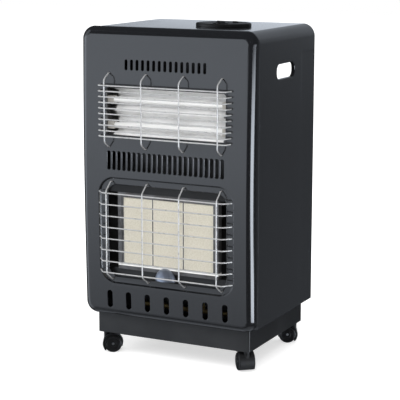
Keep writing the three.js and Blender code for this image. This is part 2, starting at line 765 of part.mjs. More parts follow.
for (const [level, z] of Object.entries(tubeLevels)) {
  const centre = [0, tube.y, z];
  const inner = tube.diameter - 2 * tube.wall;
  const glass = cut(
    bar('x', -tube.half, tube.half, tube.diameter, centre, 14),
    bar('x', -tube.half - 1, tube.half + 1, inner, centre, 14),
  );
  add(`quartz_tube_${level}`, glass, quartz);
  add(`heating_coil_${level}`, bar('x', -tube.half + gap, tube.half - gap, tube.coil, centre, 8), resistanceWire);
  for (const [name, side] of [['left', -1], ['right', 1]]) {
    const from = side * (tube.half - tubeCap.grip);
    const to = side * (tube.half - tubeCap.grip + tubeCap.length);
    const stop = side * (tube.half + gap);
    const cap = cut(
      block(
        [Math.min(from, to), Math.max(from, to)],
        [tube.y - tubeCap.size / 2, tube.y + tubeCap.size / 2],
        [z - tubeCap.size / 2, z + tubeCap.size / 2],
      ),
      bar('x', Math.min(from - side, stop), Math.max(from - side, stop), tube.diameter + 2 * gap, centre, 14),
      bar('x', -Math.abs(to) - 1, Math.abs(to) + 1, tubeCap.lead, centre, 8),
    );
    add(`tube_cap_${level}_${name}`, cap, porcelain);
  }
}

// ---------------------------------------------------------------- gas burner

const plaqueReach = plaque.width * 1.5 + plaque.spacing;
const plaqueNames = ['left', 'middle', 'right'];
const plaqueX = centred(3, plaque.width + plaque.spacing);
const plaqueBack = plaque.y + plaque.thickness;

plaqueX.forEach((x, i) => {
  add(`plaque_${plaqueNames[i]}`, block(
    [x - plaque.width / 2, x + plaque.width / 2],
    [plaque.y, plaqueBack],
    [plaque.low, plaque.high],
  ), ceramic);
});

// The frame in front of the plaques: a flat ring with two bars, a raised rim, and sides that run back.
const frameY = plaque.y - gap - burnerBox.sheet;
const frameOuter = [[-burnerFrame.half, burnerFrame.half], [burnerFrame.low, burnerFrame.high]];
const frameBody = join(
  block(frameOuter[0], [frameY, plaqueBack], frameOuter[1]),
  block(frameOuter[0], [frameY - burnerFrame.rimRise, plaqueBack], frameOuter[1]),
);
const framePlate = block(
  [-burnerFrame.half + burnerFrame.rimWidth, burnerFrame.half - burnerFrame.rimWidth],
  [frameY - 2 * burnerFrame.rimRise, frameY],
  [burnerFrame.low + burnerFrame.rimWidth, burnerFrame.high - burnerFrame.rimWidth / 2],
);
const frameBehind = block(
  [-burnerFrame.half + burnerBox.sheet, burnerFrame.half - burnerBox.sheet],
  [plaque.y - gap, plaqueBack + 1],
  [burnerFrame.low + burnerBox.sheet, burnerFrame.high - burnerBox.sheet],
);
const openingHalf = plaqueReach - burnerFrame.lip;
const mullionX = plaque.width / 2 + plaque.spacing / 2;
const frameOpenings = [
  [-openingHalf, -mullionX - burnerFrame.mullion / 2],
  [-mullionX + burnerFrame.mullion / 2, mullionX - burnerFrame.mullion / 2],
  [mullionX + burnerFrame.mullion / 2, openingHalf],
].map((x) => block(
  x,
  [frameY - 2 * burnerFrame.rimRise, plaque.y],
  [plaque.low + burnerFrame.lip, plaque.high - burnerFrame.lip],
));
add('burner_frame', cut(frameBody, framePlate, frameBehind, ...frameOpenings), greyPaint);

// The box behind the plaques: a seat round them, then the mixing chamber with a wall between the sections.
const boxBack = plaqueBack + burnerBox.plenum;
const boxHalf = plaqueReach + gap + burnerBox.sheet;
const boxOuter = join(
  block([-boxHalf, boxHalf], [plaque.y, plaqueBack + gap + burnerBox.sheet],
    [plaque.low - gap - burnerBox.sheet, plaque.high + gap + burnerBox.sheet]),
  block([-boxHalf + burnerBox.seat, boxHalf - burnerBox.seat], [plaque.y, boxBack],
    [plaque.low - gap - burnerBox.sheet + burnerBox.seat, plaque.high + gap + burnerBox.sheet - burnerBox.seat]),
);
const boxSections = plaqueX.flatMap((x) => {
  const half = plaque.width / 2 + plaque.spacing / 2 - burnerBox.divider / 2;
  return [
    block([x - half, x + half], [plaque.y - 1, plaqueBack + gap], [plaque.low - gap, plaque.high + gap]),
    block([x - half + burnerBox.seat, x + half - burnerBox.seat], [plaque.y - 1, boxBack - burnerBox.sheet],
      [plaque.low - gap + burnerBox.seat, plaque.high + gap - burnerBox.seat]),
  ];
});
const mixY = plaqueBack + burnerBox.plenum / 2;
const boxFoot = plaque.low - gap - burnerBox.sheet + burnerBox.seat;
const boxInlets = plaqueX.map((x) => bar(
  'z', boxFoot - 1, boxFoot + burnerBox.sheet + 1, mixingTube.diameter - 2 * mixingTube.wall, [x, mixY, 0], 12,
));
add('burner_box', cut(boxOuter, ...boxSections, ...boxInlets), zinc);

// Open mixing tubes with a flared mouth, one under each section of the box.
plaqueX.forEach((x, i) => {
  const outer = mixingTube.diameter / 2;
  const inner = outer - mixingTube.wall;
  const mouth = mixingTube.mouth / 2;
  const top = boxFoot - gap;
  const { low, wall, flare } = mixingTube;
  add(`mixing_tube_${plaqueNames[i]}`, turned([
    [inner, low + flare], [mouth - wall, low], [mouth, low], [outer, low + flare], [outer, top], [inner, top],
    [inner, low + flare],
  ], 12, [x, mixY, 0]), zinc);
});

// The rail feeds three injectors, each pointing up into its mixing tube, and its feet reach the heat shield.
const injectors = plaqueX.map((x) => join(
  bar('z', rail.z, injector.top - 6, injector.diameter, [x, mixY, 0], 8),
  bar('z', rail.z, injector.top, injector.tip, [x, mixY, 0], 6),
));
const railFeet = sides.map((side) => block(
  [side * mullionX - rail.footWidth / 2, side * mullionX + rail.footWidth / 2],
  [mixY, shield.y - gap],
  [rail.z - rail.footSheet / 2, rail.z + rail.footSheet / 2],
));
const railPipe = bar('x', rail.left, rail.right, rail.diameter, [0, mixY, rail.z], 8);
add('injector_rail', join(railPipe, ...injectors, ...railFeet), brass);

// The hood slopes from the upper edge of the window back to the frame.
const hoodFlangeY = recess.depth + sheet + burnerWindow.hem - bowAt(hood.turn) + gap;
const hoodSeat = burnerFrame.high + gap;
const hoodLine = [
  [frameY - burnerFrame.rimRise + hood.flange, hoodSeat],
  [frameY - burnerFrame.rimRise, hoodSeat],
  [hoodFlangeY, hood.turn],
  [hoodFlangeY, hood.top],
];
add('burner_hood', alongX(foldedSheet(hoodLine, hood.sheet), [-hood.half, hood.half]), satinBlack);

// The shelf: a foot behind the fascia, a level plate with a tongue under the pilot, and a web up to the frame.
const shelfY = recess.depth + sheet + burnerWindow.hem - bowAt(shelf.foot) + gap;
const shelfX = [-shelf.half, shelf.half];
const shelfZ = [shelf.z - shelf.sheet, shelf.z];
const shelfPlate = join(
  block(shelfX, [shelfY, shelfY + shelf.sheet], [shelf.foot, shelf.z]),
  block(shelfX, [shelfY, shelf.webY], shelfZ),
  block(shelfX, [shelf.webY - shelf.sheet, shelf.webY], [shelfZ[0], burnerFrame.low - gap]),
  block([shelf.tongueLeft, shelf.tongueRight], [shelf.tongueReach, shelfY + shelf.sheet], shelfZ),
);
add('burner_shelf', shelfPlate, satinBlack);

// The pilot's bright shield is a quarter of a hollow egg, open behind and below.
function quarterEgg(shrink) {
  const geometry = new THREE.SphereGeometry(1, 16, 12);
  const { halfWidth: wide, reach, height, x } = pilotShield;
  geometry.rotateX(Math.PI / 2);
  geometry.scale(wide - shrink, reach - shrink, height - shrink);
  geometry.translate(x, frameY - burnerFrame.rimRise - gap, shelf.z + gap);
  return solid(geometry);
}
const eggBack = frameY - burnerFrame.rimRise - gap;
const eggSpace = block(
  [pilotShield.x - pilotShield.halfWidth - 1, pilotShield.x + pilotShield.halfWidth + 1],
  [eggBack - pilotShield.reach - 1, eggBack],
  [shelf.z + gap, shelf.z + gap + pilotShield.height + 1],
);
add('pilot_shield', cut(quarterEgg(0).intersect(eggSpace), quarterEgg(pilotShield.sheet)), mirror);

const pilotFoot = shelf.z + gap;
add('pilot_burner', cut(
  join(
    bar('z', pilotFoot, pilotFoot + pilot.height, pilot.burnerDiameter, [pilot.burnerX, pilot.y, 0], 10),
    bar('z', pilotFoot, pilotFoot + 3, pilot.burnerDiameter + 3, [pilot.burnerX, pilot.y, 0], 6),
  ),
  bar('z', pilotFoot + 3, pilotFoot + pilot.height + 1, pilot.burnerDiameter - 3, [pilot.burnerX, pilot.y, 0], 10),
), zinc);
add('thermocouple', join(
  bar('z', pilotFoot, pilotFoot + pilot.height, 3.2, [pilot.sensorX, pilot.y, 0], 8),
  bar('z', pilotFoot, pilotFoot + 6, 6, [pilot.sensorX, pilot.y, 0], 8),
), zinc);
add('spark_electrode', join(
  bar('z', pilotFoot, pilotFoot + pilot.height - 5, 5, [pilot.electrodeX, pilot.y, 0], 8),
  bar('z', pilotFoot, pilotFoot + pilot.height - 1, 1.6, [pilot.electrodeX, pilot.y, 0], 6),
), porcelain);

// ---------------------------------------------------------------- controls

const bezelFoot = cabinet.top + gap;
const bezelTop = bezelFoot + bezel.rise;
const plateUnder = bezelTop - bezel.wall;
const ellipseAt = (shrink) => ellipseShape(bezel.x, bezel.y, bezel.halfWidth - shrink, bezel.halfDepth - shrink);
const wellFloor = bezelTop - knob.wellFloor - knob.thickness - knob.travel - gap;
const wellAt = (diameter, z) => bar('z', z[0], z[1], diameter, [bezel.x, knob.y, 0], 24);
const rockerX = sides.map((side) => bezel.x + side * rockers.offset);
const rockerHoles = rockerX.map((x) => block(
  [x - rockers.width / 2 - gap, x + rockers.width / 2 + gap],
  [rockers.y - rockers.length / 2 - gap, rockers.y + rockers.length / 2 + gap],
  [plateUnder - 1, bezelTop + 1],
));

const bezelBody = join(
  alongZ(ellipseAt(0), [bezelFoot, bezelTop - bezel.round], 10),
  alongZ(ellipseAt(bezel.round * 0.35), [bezelTop - bezel.round - 0.1, bezelTop - bezel.round * 0.4], 10),
  alongZ(ellipseAt(bezel.round), [bezelTop - bezel.round * 0.4 - 0.1, bezelTop], 10),
  alongZ(bezelPlugShape(0), [bezelFoot - bezel.skirt, bezelFoot + 1], 8),
);
const bezelHollow = alongZ(bezelPlugShape(-bezel.wall), [bezelFoot - bezel.skirt - 1, plateUnder], 8);
const bezelWell = wellAt(knob.well + 2 * bezel.wall, [wellFloor - bezel.wall, plateUnder + 0.5]);
add('control_bezel', cut(
  join(cut(bezelBody, bezelHollow), bezelWell),
  wellAt(knob.well, [wellFloor, bezelTop + 1]),
  wellAt(knob.stem + 2 * gap, [wellFloor - 2 * bezel.wall, wellFloor + 1]),
  ...rockerHoles,
), blackPlastic);

// The knob: a disc with a grip bar across it, and a stem that reaches into the valve's rotor.
const knobTop = bezelTop - knob.wellFloor;
const knobUnder = knobTop - knob.thickness;
const valveTop = wellFloor - bezel.wall - gap;
const valveFloor = valveTop - valve.height + valve.floor;
const stemFoot = valveFloor + gap + valve.floor + knob.travel;
const gripBar = roundedRectangle(
  bezel.x - knob.barWidth / 2, bezel.x + knob.barWidth / 2,
  knob.y - knob.diameter / 2 + 0.6, knob.y + knob.diameter / 2 - 0.6, knob.barWidth / 2 - 0.5,
);
add('control_knob', join(
  wellAt(knob.diameter, [knobUnder, knobTop]),
  alongZ(gripBar, [knobUnder + 1, bezelTop + knob.barRise], 3),
  bar('z', stemFoot, knobUnder + 1, knob.stem, [bezel.x, knob.y, 0], 12),
), blackPlastic);

const valveX = [bezel.x - valve.width / 2, bezel.x + valve.width / 2];
const valveY = [knob.y - valve.depth / 2, knob.y + valve.depth / 2];
const rotorFoot = valveFloor + gap;
const portZ = valveTop - valve.height / 2;
add('gas_valve', cut(
  block(valveX, valveY, [valveTop - valve.height, valveTop]),
  wellAt(valve.bore, [valveFloor, valveTop + 1]),
), brass);
add('valve_rotor', cut(
  wellAt(valve.rotor, [rotorFoot, valveTop - gap]),
  bar('z', stemFoot - knob.travel - gap, valveTop + 1, knob.stem + 2 * gap, [bezel.x, knob.y, 0], 12),
), brass);

// One block under the bezel holds both rocker switches in open pockets.
const pocketFloor = plateUnder - gap - switchBlock.depth + switchBlock.wall;
const pivotZ = plateUnder - rockers.pivotDrop;
const rockerPockets = rockerX.map((x) => block(
  [x - rockers.width / 2 - gap, x + rockers.width / 2 + gap],
  [rockers.y - rockers.length / 2 - gap, rockers.y + rockers.length / 2 + gap],
  [pocketFloor, plateUnder + 1],
));
const switchHalfX = rockers.offset + rockers.width / 2 + gap + switchBlock.wall;
const switchHalfY = rockers.length / 2 + gap + switchBlock.wall;
add('switch_block', cut(
  block(
    [bezel.x - switchHalfX, bezel.x + switchHalfX],
    [rockers.y - switchHalfY, rockers.y + switchHalfY],
    [plateUnder - gap - switchBlock.depth, plateUnder - gap],
  ),
  ...rockerPockets,
), matteBlack);

// A rocker: a shallow vee on top, turning about a line across its middle. At rest its rear half is pressed down.
rockerX.forEach((x, i) => {
  const half = rockers.length / 2 - rockers.play;
  const top = bezelTop + 0.6 - pivotZ;
  const tip = top + rockers.rise - 1.4;
  const shape = polygon([[-half + 1.2, -7], [half - 1.2, -7], [half, tip], [0, top - 1.4], [-half, tip]]);
  const made = alongX(shape, [-rockers.width / 2, rockers.width / 2]);
  const mesh = add(`rocker_${i === 0 ? 'left' : 'right'}`, made, blackPlastic);
  mesh.rotation.x = THREE.MathUtils.degToRad(-rockers.swing / 2);
  mesh.position.set(x, rockers.y, pivotZ);
});

// ---------------------------------------------------------------- pipes and inlets

// The hose nozzle points to the back, with three barbs and a bore.
const inletY = valveY[1] + gap;
const barbs = [0.45, 0.62, 0.79, 0.96].flatMap((share) => [
  [inlet.nozzle / 2 + 0.8, inlet.length * (share - 0.1)],
  [inlet.nozzle / 2 - 0.4, inlet.length * share],
]);
const hexRadius = inlet.thread / 2 + 2.5;
const inletProfile = [
  [inlet.bore / 2, 0], [inlet.thread / 2, 0], [hexRadius, 0.01], [hexRadius, inlet.length * 0.25],
  [inlet.nozzle / 2 - 0.4, inlet.length * 0.26], ...barbs,
  [inlet.nozzle / 2 - 1, inlet.length], [inlet.bore / 2, inlet.length], [inlet.bore / 2, 0],
];
const inletGeometry = new THREE.LatheGeometry(inletProfile.map(([r, h]) => new THREE.Vector2(r, h)), 12);
inletGeometry.translate(bezel.x, inletY, portZ);
add('gas_inlet', solid(inletGeometry), brass);

// The main pipe leaves the valve forwards, crosses above the heat shield, and drops to the end of the rail.
const pipeTop = portZ + 4;
const pipeX = halfWidth - gasPipe.sideInset;
add('gas_pipe', rod(bent([
  [bezel.x + 8, valveY[0] - gap, pipeTop],
  [bezel.x + 8, gasPipe.y, pipeTop],
  [pipeX, gasPipe.y, pipeTop],
  [pipeX, gasPipe.y, rail.z],
  [pipeX, mixY, rail.z],
  [rail.right + gap, mixY, rail.z],
], gasPipe.bend / 2), gasPipe.diameter, 8), copper);
const pilotX = halfWidth - pilotPipe.sideInset;
const pilotTop = portZ - 6;
const pilotLow = shelf.z - pilotPipe.drop;
add('pilot_pipe', rod(bent([
  [bezel.x - 9, valveY[0] - gap, pilotTop],
  [bezel.x - 9, pilotPipe.y, pilotTop],
  [pilotX, pilotPipe.y, pilotTop],
  [pilotX, pilotPipe.y, pilotLow],
  [pilotX - pilotPipe.turnIn, pilotPipe.lowY, pilotLow],
  [pilot.burnerX, pilotPipe.lowY, pilotLow],
  [pilot.burnerX, pilotPipe.endY, pilotLow],
  [pilot.burnerX, pilotPipe.endY, shelf.z - shelf.sheet - gap],
], pilotPipe.bend / 2, 2), pilotPipe.diameter, 8), copper);

// The cord's gland sits in the heat shield and faces the back.
const glandY = shield.y + sheet + gap;
add('cable_gland', cut(
  join(
    bar('y', shield.y - 6, glandY + gland.nose, gland.body, [gland.x, 0, gland.z], 12),
    bar('y', glandY, glandY + 5, gland.collar, [gland.x, 0, gland.z], 12),
  ),
  bar('y', shield.y - 7, glandY + gland.nose + 1, gland.bore, [gland.x, 0, gland.z], 8),
), matteBlack);

// ---------------------------------------------------------------- castors

// A twin-wheel castor in its own frame: the stem stands on Z, and the axle trails behind it along -X.
function castorBody() {
  const axleZ = castor.wheel / 2;
  const hoodInner = castor.wheel / 2 + castor.hoodGap;
  const hoodOuter = hoodInner + castor.hoodSheet;
  const total = castor.web + 2 * (castor.wheelWidth + gap);
  const ring = (radius) => bar('y', -total / 2, total / 2, 2 * radius, [-castor.trail, 0, axleZ], 24);
  const covered = block(
    [-castor.trail - castor.hoodTail, -castor.trail + hoodOuter + 1],
    [-total, total],
    [castor.hoodLow, axleZ + hoodOuter + 1],
  );
  const hollow = block([-castor.trail - hoodOuter, -castor.trail], [-total, total], [0, axleZ]);
  const hood = cut(ring(hoodOuter), ring(hoodInner)).intersect(covered).subtract(hollow);
  const webRound = bar('y', -castor.web / 2, castor.web / 2, 2 * (hoodInner + 0.5), [-castor.trail, 0, axleZ], 24);
  const web = webRound.intersect(block(
    [-castor.trail - hoodOuter, castor.trail],
    [-castor.web, castor.web],
    [axleZ - castor.hub / 2 - 2, axleZ + hoodOuter],
  ));
  const neckTop = tray.floor - gap;
  const neck = bar('z', axleZ + 2, neckTop, castor.hub, [0, 0, 0], 12);
  const headFoot = tray.socketTop + gap;
  const headTop = headFoot + castor.headHeight;
  const stem = bar('z', neckTop - 1, headTop, castor.stem, [0, 0, 0], 12);
  const head = bar('z', headFoot, headTop, castor.headWidth, [0, 0, 0], 12);
  const bore = bar('y', -castor.web, castor.web, castor.axle + 2 * gap, [-castor.trail, 0, axleZ], 12);
  const wheelRoom = sides.map((side) => {
    const near = castor.web / 2;
    const y = side > 0 ? [near, near + castor.wheelWidth + 2 * gap] : [-near - castor.wheelWidth - 2 * gap, -near];
    return bar('y', y[0], y[1], 2 * hoodInner, [-castor.trail, 0, axleZ], 24);
  });
  return join(cut(join(hood, web, neck), ...wheelRoom, bore), stem, head);
}

// A wheel turned about its own axle line: a tread, a shallow dish in its outer face, and a bore.
function castorWheel() {
  const outer = castor.wheel / 2;
  const bore = castor.axle / 2 + castor.running;
  const width = castor.wheelWidth;
  const geometry = new THREE.LatheGeometry([
    [bore, 0], [outer - 1, 0], [outer, 1], [outer, width - 2], [outer - 2, width], [outer - 5, width],
    [outer - 7, width - 2], [bore + 3, width - 1], [bore, width - 1], [bore, 0],
  ].map(([r, h]) => new THREE.Vector2(r, h)), 20);
  return geometry;
}

for (const [spot, [x, y]] of Object.entries(castorSpots)) {
  const group = new THREE.Group();
  group.position.set(x, y, 0);
  group.rotation.z = THREE.MathUtils.degToRad(castorTurn[spot]);
  heater.add(group);
  add(`castor_${spot}_body`, castorBody(), matteBlack, group);
  const axleHalf = castor.web / 2 + gap + castor.wheelWidth - 1.5;
  const axle = bar('y', -axleHalf, axleHalf, castor.axle, [-castor.trail, 0, castor.wheel / 2], 12);
  add(`castor_${spot}_axle`, axle, zinc, group);
  for (const [name, side] of [['left', 1], ['right', -1]]) {
    const wheel = add(`castor_${spot}_wheel_${name}`, castorWheel(), blackPlastic, group);
    wheel.position.set(-castor.trail, side * (castor.web / 2 + gap), castor.wheel / 2);
    if (side < 0) wheel.rotation.x = Math.PI;
  }
}

// ---------------------------------------------------------------- the part's own frame

const bounds = new THREE.Box3().setFromObject(heater);
heater.position.y = -(bounds.min.y + bounds.max.y) / 2;
const part = new THREE.Group();
part.add(heater);

export default part;
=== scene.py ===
import json
import math

import bmesh
import bpy
from mathutils import Matrix, Vector


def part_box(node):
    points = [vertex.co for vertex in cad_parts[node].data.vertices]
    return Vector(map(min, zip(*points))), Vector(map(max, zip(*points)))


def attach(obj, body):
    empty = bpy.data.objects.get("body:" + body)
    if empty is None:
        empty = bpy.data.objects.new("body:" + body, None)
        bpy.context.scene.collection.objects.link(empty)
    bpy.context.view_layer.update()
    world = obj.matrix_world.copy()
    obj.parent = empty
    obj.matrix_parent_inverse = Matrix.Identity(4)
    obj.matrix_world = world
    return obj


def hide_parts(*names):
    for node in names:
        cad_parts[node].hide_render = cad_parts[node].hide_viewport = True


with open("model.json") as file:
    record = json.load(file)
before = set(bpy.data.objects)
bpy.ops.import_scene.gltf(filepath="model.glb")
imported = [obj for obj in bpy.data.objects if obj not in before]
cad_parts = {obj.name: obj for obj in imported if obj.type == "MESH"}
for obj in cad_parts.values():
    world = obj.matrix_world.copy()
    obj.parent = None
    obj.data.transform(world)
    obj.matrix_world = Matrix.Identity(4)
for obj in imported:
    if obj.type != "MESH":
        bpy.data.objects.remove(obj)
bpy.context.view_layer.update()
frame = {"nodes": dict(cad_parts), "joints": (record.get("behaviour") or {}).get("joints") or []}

# The studio. A long lens stands right of the heater and a little above it, and the heater is on a pale floor in
# front of white. Three broad lamps and the sky light it softly. A tent that only shiny surfaces see is bright
# in front, with a strip on the right and darker parts between, which draw the form of the black enamel.
mm = 0.001
degree = math.pi / 180

scene = bpy.context.scene
scene.view_settings.view_transform = "Standard"


class Link:
    """A socket of a node tree. Arithmetic on links and numbers adds Math nodes."""

    def __init__(self, tree, socket=None):
        self.tree = tree
        self.socket = socket

    def node(self, kind, settings=None, sockets=None, output=0):
        """Adds a node of any kind: its settings first, then the values or links of its sockets."""
        made = self.tree.nodes.new("ShaderNode" + kind)
        for name, value in (settings or {}).items():
            setattr(made, name, value)
        for name, value in (sockets or {}).items():
            if isinstance(value, Link):
                self.tree.links.new(value.socket, made.inputs[name])
            else:
                made.inputs[name].default_value = value
        return Link(self.tree, made.outputs[output]) if made.outputs else made

    def maths(self, operation, first, second=0.0):
        return self.node("Math", {"operation": operation}, {0: first, 1: second})

    def __add__(self, other):
        return self.maths("ADD", self, other)

    def __sub__(self, other):
        return self.maths("SUBTRACT", self, other)

    def __rsub__(self, other):
        return self.maths("SUBTRACT", other, self)

    def __mul__(self, other):
        return self.maths("MULTIPLY", self, other)

    __radd__ = __add__
    __rmul__ = __mul__

    def between(self, low, high, at_low, at_high):
        """Follows this value smoothly from one level to another."""
        levels = {0: self, 1: low, 2: high, 3: at_low, 4: at_high}
        return self.node("MapRange", {"interpolation_type": "SMOOTHSTEP"}, levels)


def show(thing):
    scene.collection.objects.link(thing)
    return thing


camera = bpy.data.cameras.new("studio_camera")
camera.sensor_width = 36
camera.lens = 126.7
camera.clip_end = 50
camera_object = show(bpy.data.objects.new("studio_camera", camera))
camera_object.location = (1.4077, -2.7966, 0.9490)
camera_object.rotation_euler = (79.054 * degree, 0, 26.744 * degree)
scene.camera = camera_object


def direction(azimuth, elevation):
    """A unit vector: azimuth 0 is straight in front of the heater, and 90 is to its right."""
    level = math.cos(elevation * degree)
    across = math.sin(azimuth * degree) * level
    return Vector((across, -math.cos(azimuth * degree) * level, math.sin(elevation * degree)))


heater_middle = Vector((0, 0, 0.37))
lamp_distance = 3.4
for name, azimuth, elevation, power, width in (
    ("key_lamp", 20, 36, 84, 2.0),
    ("left_lamp", -64, 30, 44, 1.8),
    ("back_lamp", 160, 50, 34, 2.0),
):
    lamp = bpy.data.lights.new(name, "AREA")
    lamp.size = width
    lamp.energy = power
    lamp_object = show(bpy.data.objects.new(name, lamp))
    aim = direction(azimuth, elevation)
    lamp_object.location = heater_middle + lamp_distance * aim
    lamp_object.rotation_euler = aim.to_track_quat("Z", "Y").to_euler()
    lamp_object.visible_glossy = False


def blank_tree(owner):
    """The start of an empty node tree."""
    owner.use_nodes = True
    owner.node_tree.nodes.clear()
    return Link(owner.node_tree)


def blank_material(name):
    """A new material, and the place on the piece in metres."""
    material = bpy.data.materials.new(name)
    return material, blank_tree(material).node("TexCoord", output="Object")


def along(place, axis):
    return place.node("SeparateXYZ", sockets={0: place}, output=axis)


def distance(place):
    return place.node("VectorMath", {"operation": "LENGTH"}, {0: place}, output="Value")


def tint(factor, dark, light):
    """A colour between two others."""
    mixed = {"Factor": factor, "A": dark, "B": light}
    return factor.node("Mix", {"data_type": "RGBA"}, mixed, output="Result")


def seen_directly(start):
    """1 for the rays that show the background to the camera, in metal and through glass, and 0 for others."""
    rays = [start.node("LightPath", output=f"Is {kind} Ray") for kind in ("Camera", "Glossy", "Transmission")]
    return start.maths("MINIMUM", rays[0] + rays[1] + rays[2], 1.0)


white = (1, 1, 1, 1)
sky_level = 0.5
sky = bpy.data.worlds.new("studio_sky")
start = blank_tree(sky)
sky_strength = seen_directly(start) * (1 - sky_level) + sky_level
glow = start.node("Background", sockets={"Color": white, "Strength": sky_strength})
start.node("OutputWorld", sockets={"Surface": glow})
scene.world = sky


def plain_object(name, bm):
    mesh = bpy.data.meshes.new(name)
    bm.to_mesh(mesh)
    bm.free()
    return show(bpy.data.objects.new(name, mesh))


floor_half = 12
floor_bm = bmesh.new()
bmesh.ops.create_grid(floor_bm, x_segments=1, y_segments=1, size=floor_half)
floor = plain_object("studio_floor", floor_bm)
floor.visible_glossy = False

floor_colour = (0.62, 0.62, 0.62, 1)
white_from, white_to = 0.25, 1.1
floor_finish, here = blank_material("pale_floor")
lit = here.node("BsdfDiffuse", sockets={"Color": floor_colour})
# Painted light and shade: the camera sees the floor grey beside the heater, turning white 0.25 to 1.1 m away.
painted_floor_light = tint(distance(here).between(white_from, white_to, 0.0, 1.0), floor_colour, white)
glow = here.node("Emission", sockets={"Color": painted_floor_light, "Strength": seen_directly(here)})
here.node("OutputMaterial", sockets={"Surface": here.node("AddShader", sockets={0: lit, 1: glow})})
floor.data.materials.append(floor_finish)

tent_radius = 9
tent_bm = bmesh.new()
bmesh.ops.create_uvsphere(tent_bm, u_segments=32, v_segments=16, radius=tent_radius)
tent = plain_object("reflection_tent", tent_bm)
tent.visible_camera = False
tent.visible_diffuse = False
tent.visible_transmission = False
tent.visible_shadow = False

tent_finish, here = blank_material("tent_panels")
tent_finish.cycles.emission_sampling = "NONE"
tent_x, tent_y, tent_z = (along(here, axis) for axis in "XYZ")
climb = here.maths("ARCSINE", here.maths("DIVIDE", tent_z, distance(here))) * (1 / degree)


def tent_panel(azimuth, half_width, elevation, half_height, soft):
    """1 on a panel of the tent, falling softly to 0 round it. All in degrees."""
    sine = math.sin(azimuth * degree)
    cosine = math.cos(azimuth * degree)
    turn = here.maths("ARCTAN2", tent_x * cosine + tent_y * sine, tent_x * sine - tent_y * cosine)
    aside = here.maths("ABSOLUTE", turn) * (1 / degree)
    off = here.maths("ABSOLUTE", climb - elevation)
    beside = aside.between(half_width - soft, half_width + soft, 1.0, 0.0)
    return beside * off.between(half_height - soft, half_height + soft, 1.0, 0.0)


front = tent_panel(-50, 34, -12, 24, 5) * climb.between(-28.0, 2.0, 0.34, 1.2)
left_glow = tent_panel(-62, 17, 0, 44, 6) * 0.7
right_strip = tent_panel(75, 19, -11, 10.5, 5) * 7.5
side_glow = tent_panel(146, 26, -8, 26, 12) * 0.055
side_line = tent_panel(202, 16, -10, 18, 6)
rear_top = tent_panel(-178, 26, 20, 18, 8) * 0.27
floor_glow = climb.between(-62.0, -42.0, 0.35, 0.0)
dim_rest = 0.05
panels = front + side_line + left_glow + right_strip + side_glow + rear_top + floor_glow + dim_rest
cool_light = (0.83, 0.90, 1.0)
panel_light = here.node("VectorMath", {"operation": "SCALE"}, {0: cool_light, "Scale": panels})
glow = here.node("Emission", sockets={"Color": panel_light, "Strength": 1.0})
here.node("OutputMaterial", sockets={"Surface": glow})
tent.data.materials.append(tent_finish)

# The base tray. A deep tray of 1.5 mm steel, painted satin black, that the gas bottle stands in. Its rim
# carries the cabinet, its floor has long vents, and a socket for a castor is welded in each corner.
def close_material(place, sockets):
    place.node("OutputMaterial", sockets={"Surface": place.node("BsdfPrincipled", sockets=sockets)})


def noise(place, scale, detail=2.0, stretch=(1, 1, 1)):
    spread = place.node("Mapping", sockets={"Vector": place, "Scale": stretch})
    return place.node("TexNoise", sockets={"Vector": spread, "Scale": scale, "Detail": detail})


def bump(height, rise):
    return height.node("Bump", sockets={"Height": height, "Distance": rise, "Strength": 1.0})


def shade(colour, times, plus=0.0):
    """A colour made lighter or darker."""
    return tuple(times * part + plus for part in colour[:3]) + (1,)


satin_colour = (0.0135, 0.0140, 0.0150, 1)
satin_black, place = blank_material("satin_black_paint_finish")
dust = noise(place, 9.0, 5.0).between(0.45, 0.72, 0.0, 1.0)
close_material(place, {
    "Base Color": tint(dust, satin_colour, shade(satin_colour, 1.5, 0.003)),
    "Roughness": 0.36 + 0.1 * dust,
    "Normal": bump(noise(place, 900.0), 0.06 * mm),
})


def facing_front(u, v, depth):
    return Vector((u, depth, v))


def facing_up(u, v, depth):
    return Vector((u, v, depth))


def facing_side(u, v, depth):
    return Vector((depth, u, v))


def outwards(bm):
    bmesh.ops.recalc_face_normals(bm, faces=bm.faces)
    return bm


def rings_from(base, rings, way=1):
    """Rings for a loft or points to spin, given in millimetres from a base."""
    return [(base + way * depth * mm, growth * mm) for depth, growth in rings]


def quarter_round(steps, depth, inwards):
    """(depth, growth) pairs round a quarter, from a piece's side to its face."""
    turns = [i * 90 / steps * degree for i in range(steps + 1)]
    return [(depth * math.sin(turn), -inwards * (1 - math.cos(turn))) for turn in turns]


def loft(rings, centre, half, corner, facing, steps=6, caps=True, least=0.4 * mm):
    """Rounded rectangles bridged into one body. Each ring is (depth, growth) of the middle outline."""
    bm = bmesh.new()
    count = 4 * steps
    swell = 1 / math.cos(math.pi / count)
    last = None
    for number, (depth, growth) in enumerate(rings):
        end = number in (0, len(rings) - 1)
        ring = bmesh.ops.create_circle(bm, cap_ends=caps and end, segments=count, radius=1)["verts"]
        bend = max(corner + growth, least)
        for i, vertex in enumerate(ring):
            angle = (i + 0.5) * 2 * math.pi / count
            u = math.copysign(half[0] + growth - bend, math.cos(angle)) + bend * swell * math.cos(angle)
            v = math.copysign(half[1] + growth - bend, math.sin(angle)) + bend * swell * math.sin(angle)
            vertex.co = facing(centre[0] + u, centre[1] + v, depth)
        for i in range(count if last else 0):
            bm.faces.new((last[i - 1], last[i], ring[i], ring[i - 1]))
        last = ring
    return outwards(bm)


def cylinder(radius, low, high, axis, centre, segments=48):
    """A closed cylinder along x, y or z, between two values on that axis."""
    bm = bmesh.new()
    turns = {
        "x": Matrix.Rotation(90 * degree, 4, "Y"), "y": Matrix.Rotation(-90 * degree, 4, "X"), "z": Matrix(),
    }
    middle = Vector(centre)
    middle["xyz".index(axis)] = (low + high) / 2
    bmesh.ops.create_cone(
        bm, cap_ends=True, segments=segments, radius1=radius, radius2=radius, depth=high - low,
        matrix=Matrix.Translation(middle) @ turns[axis])
    return bm


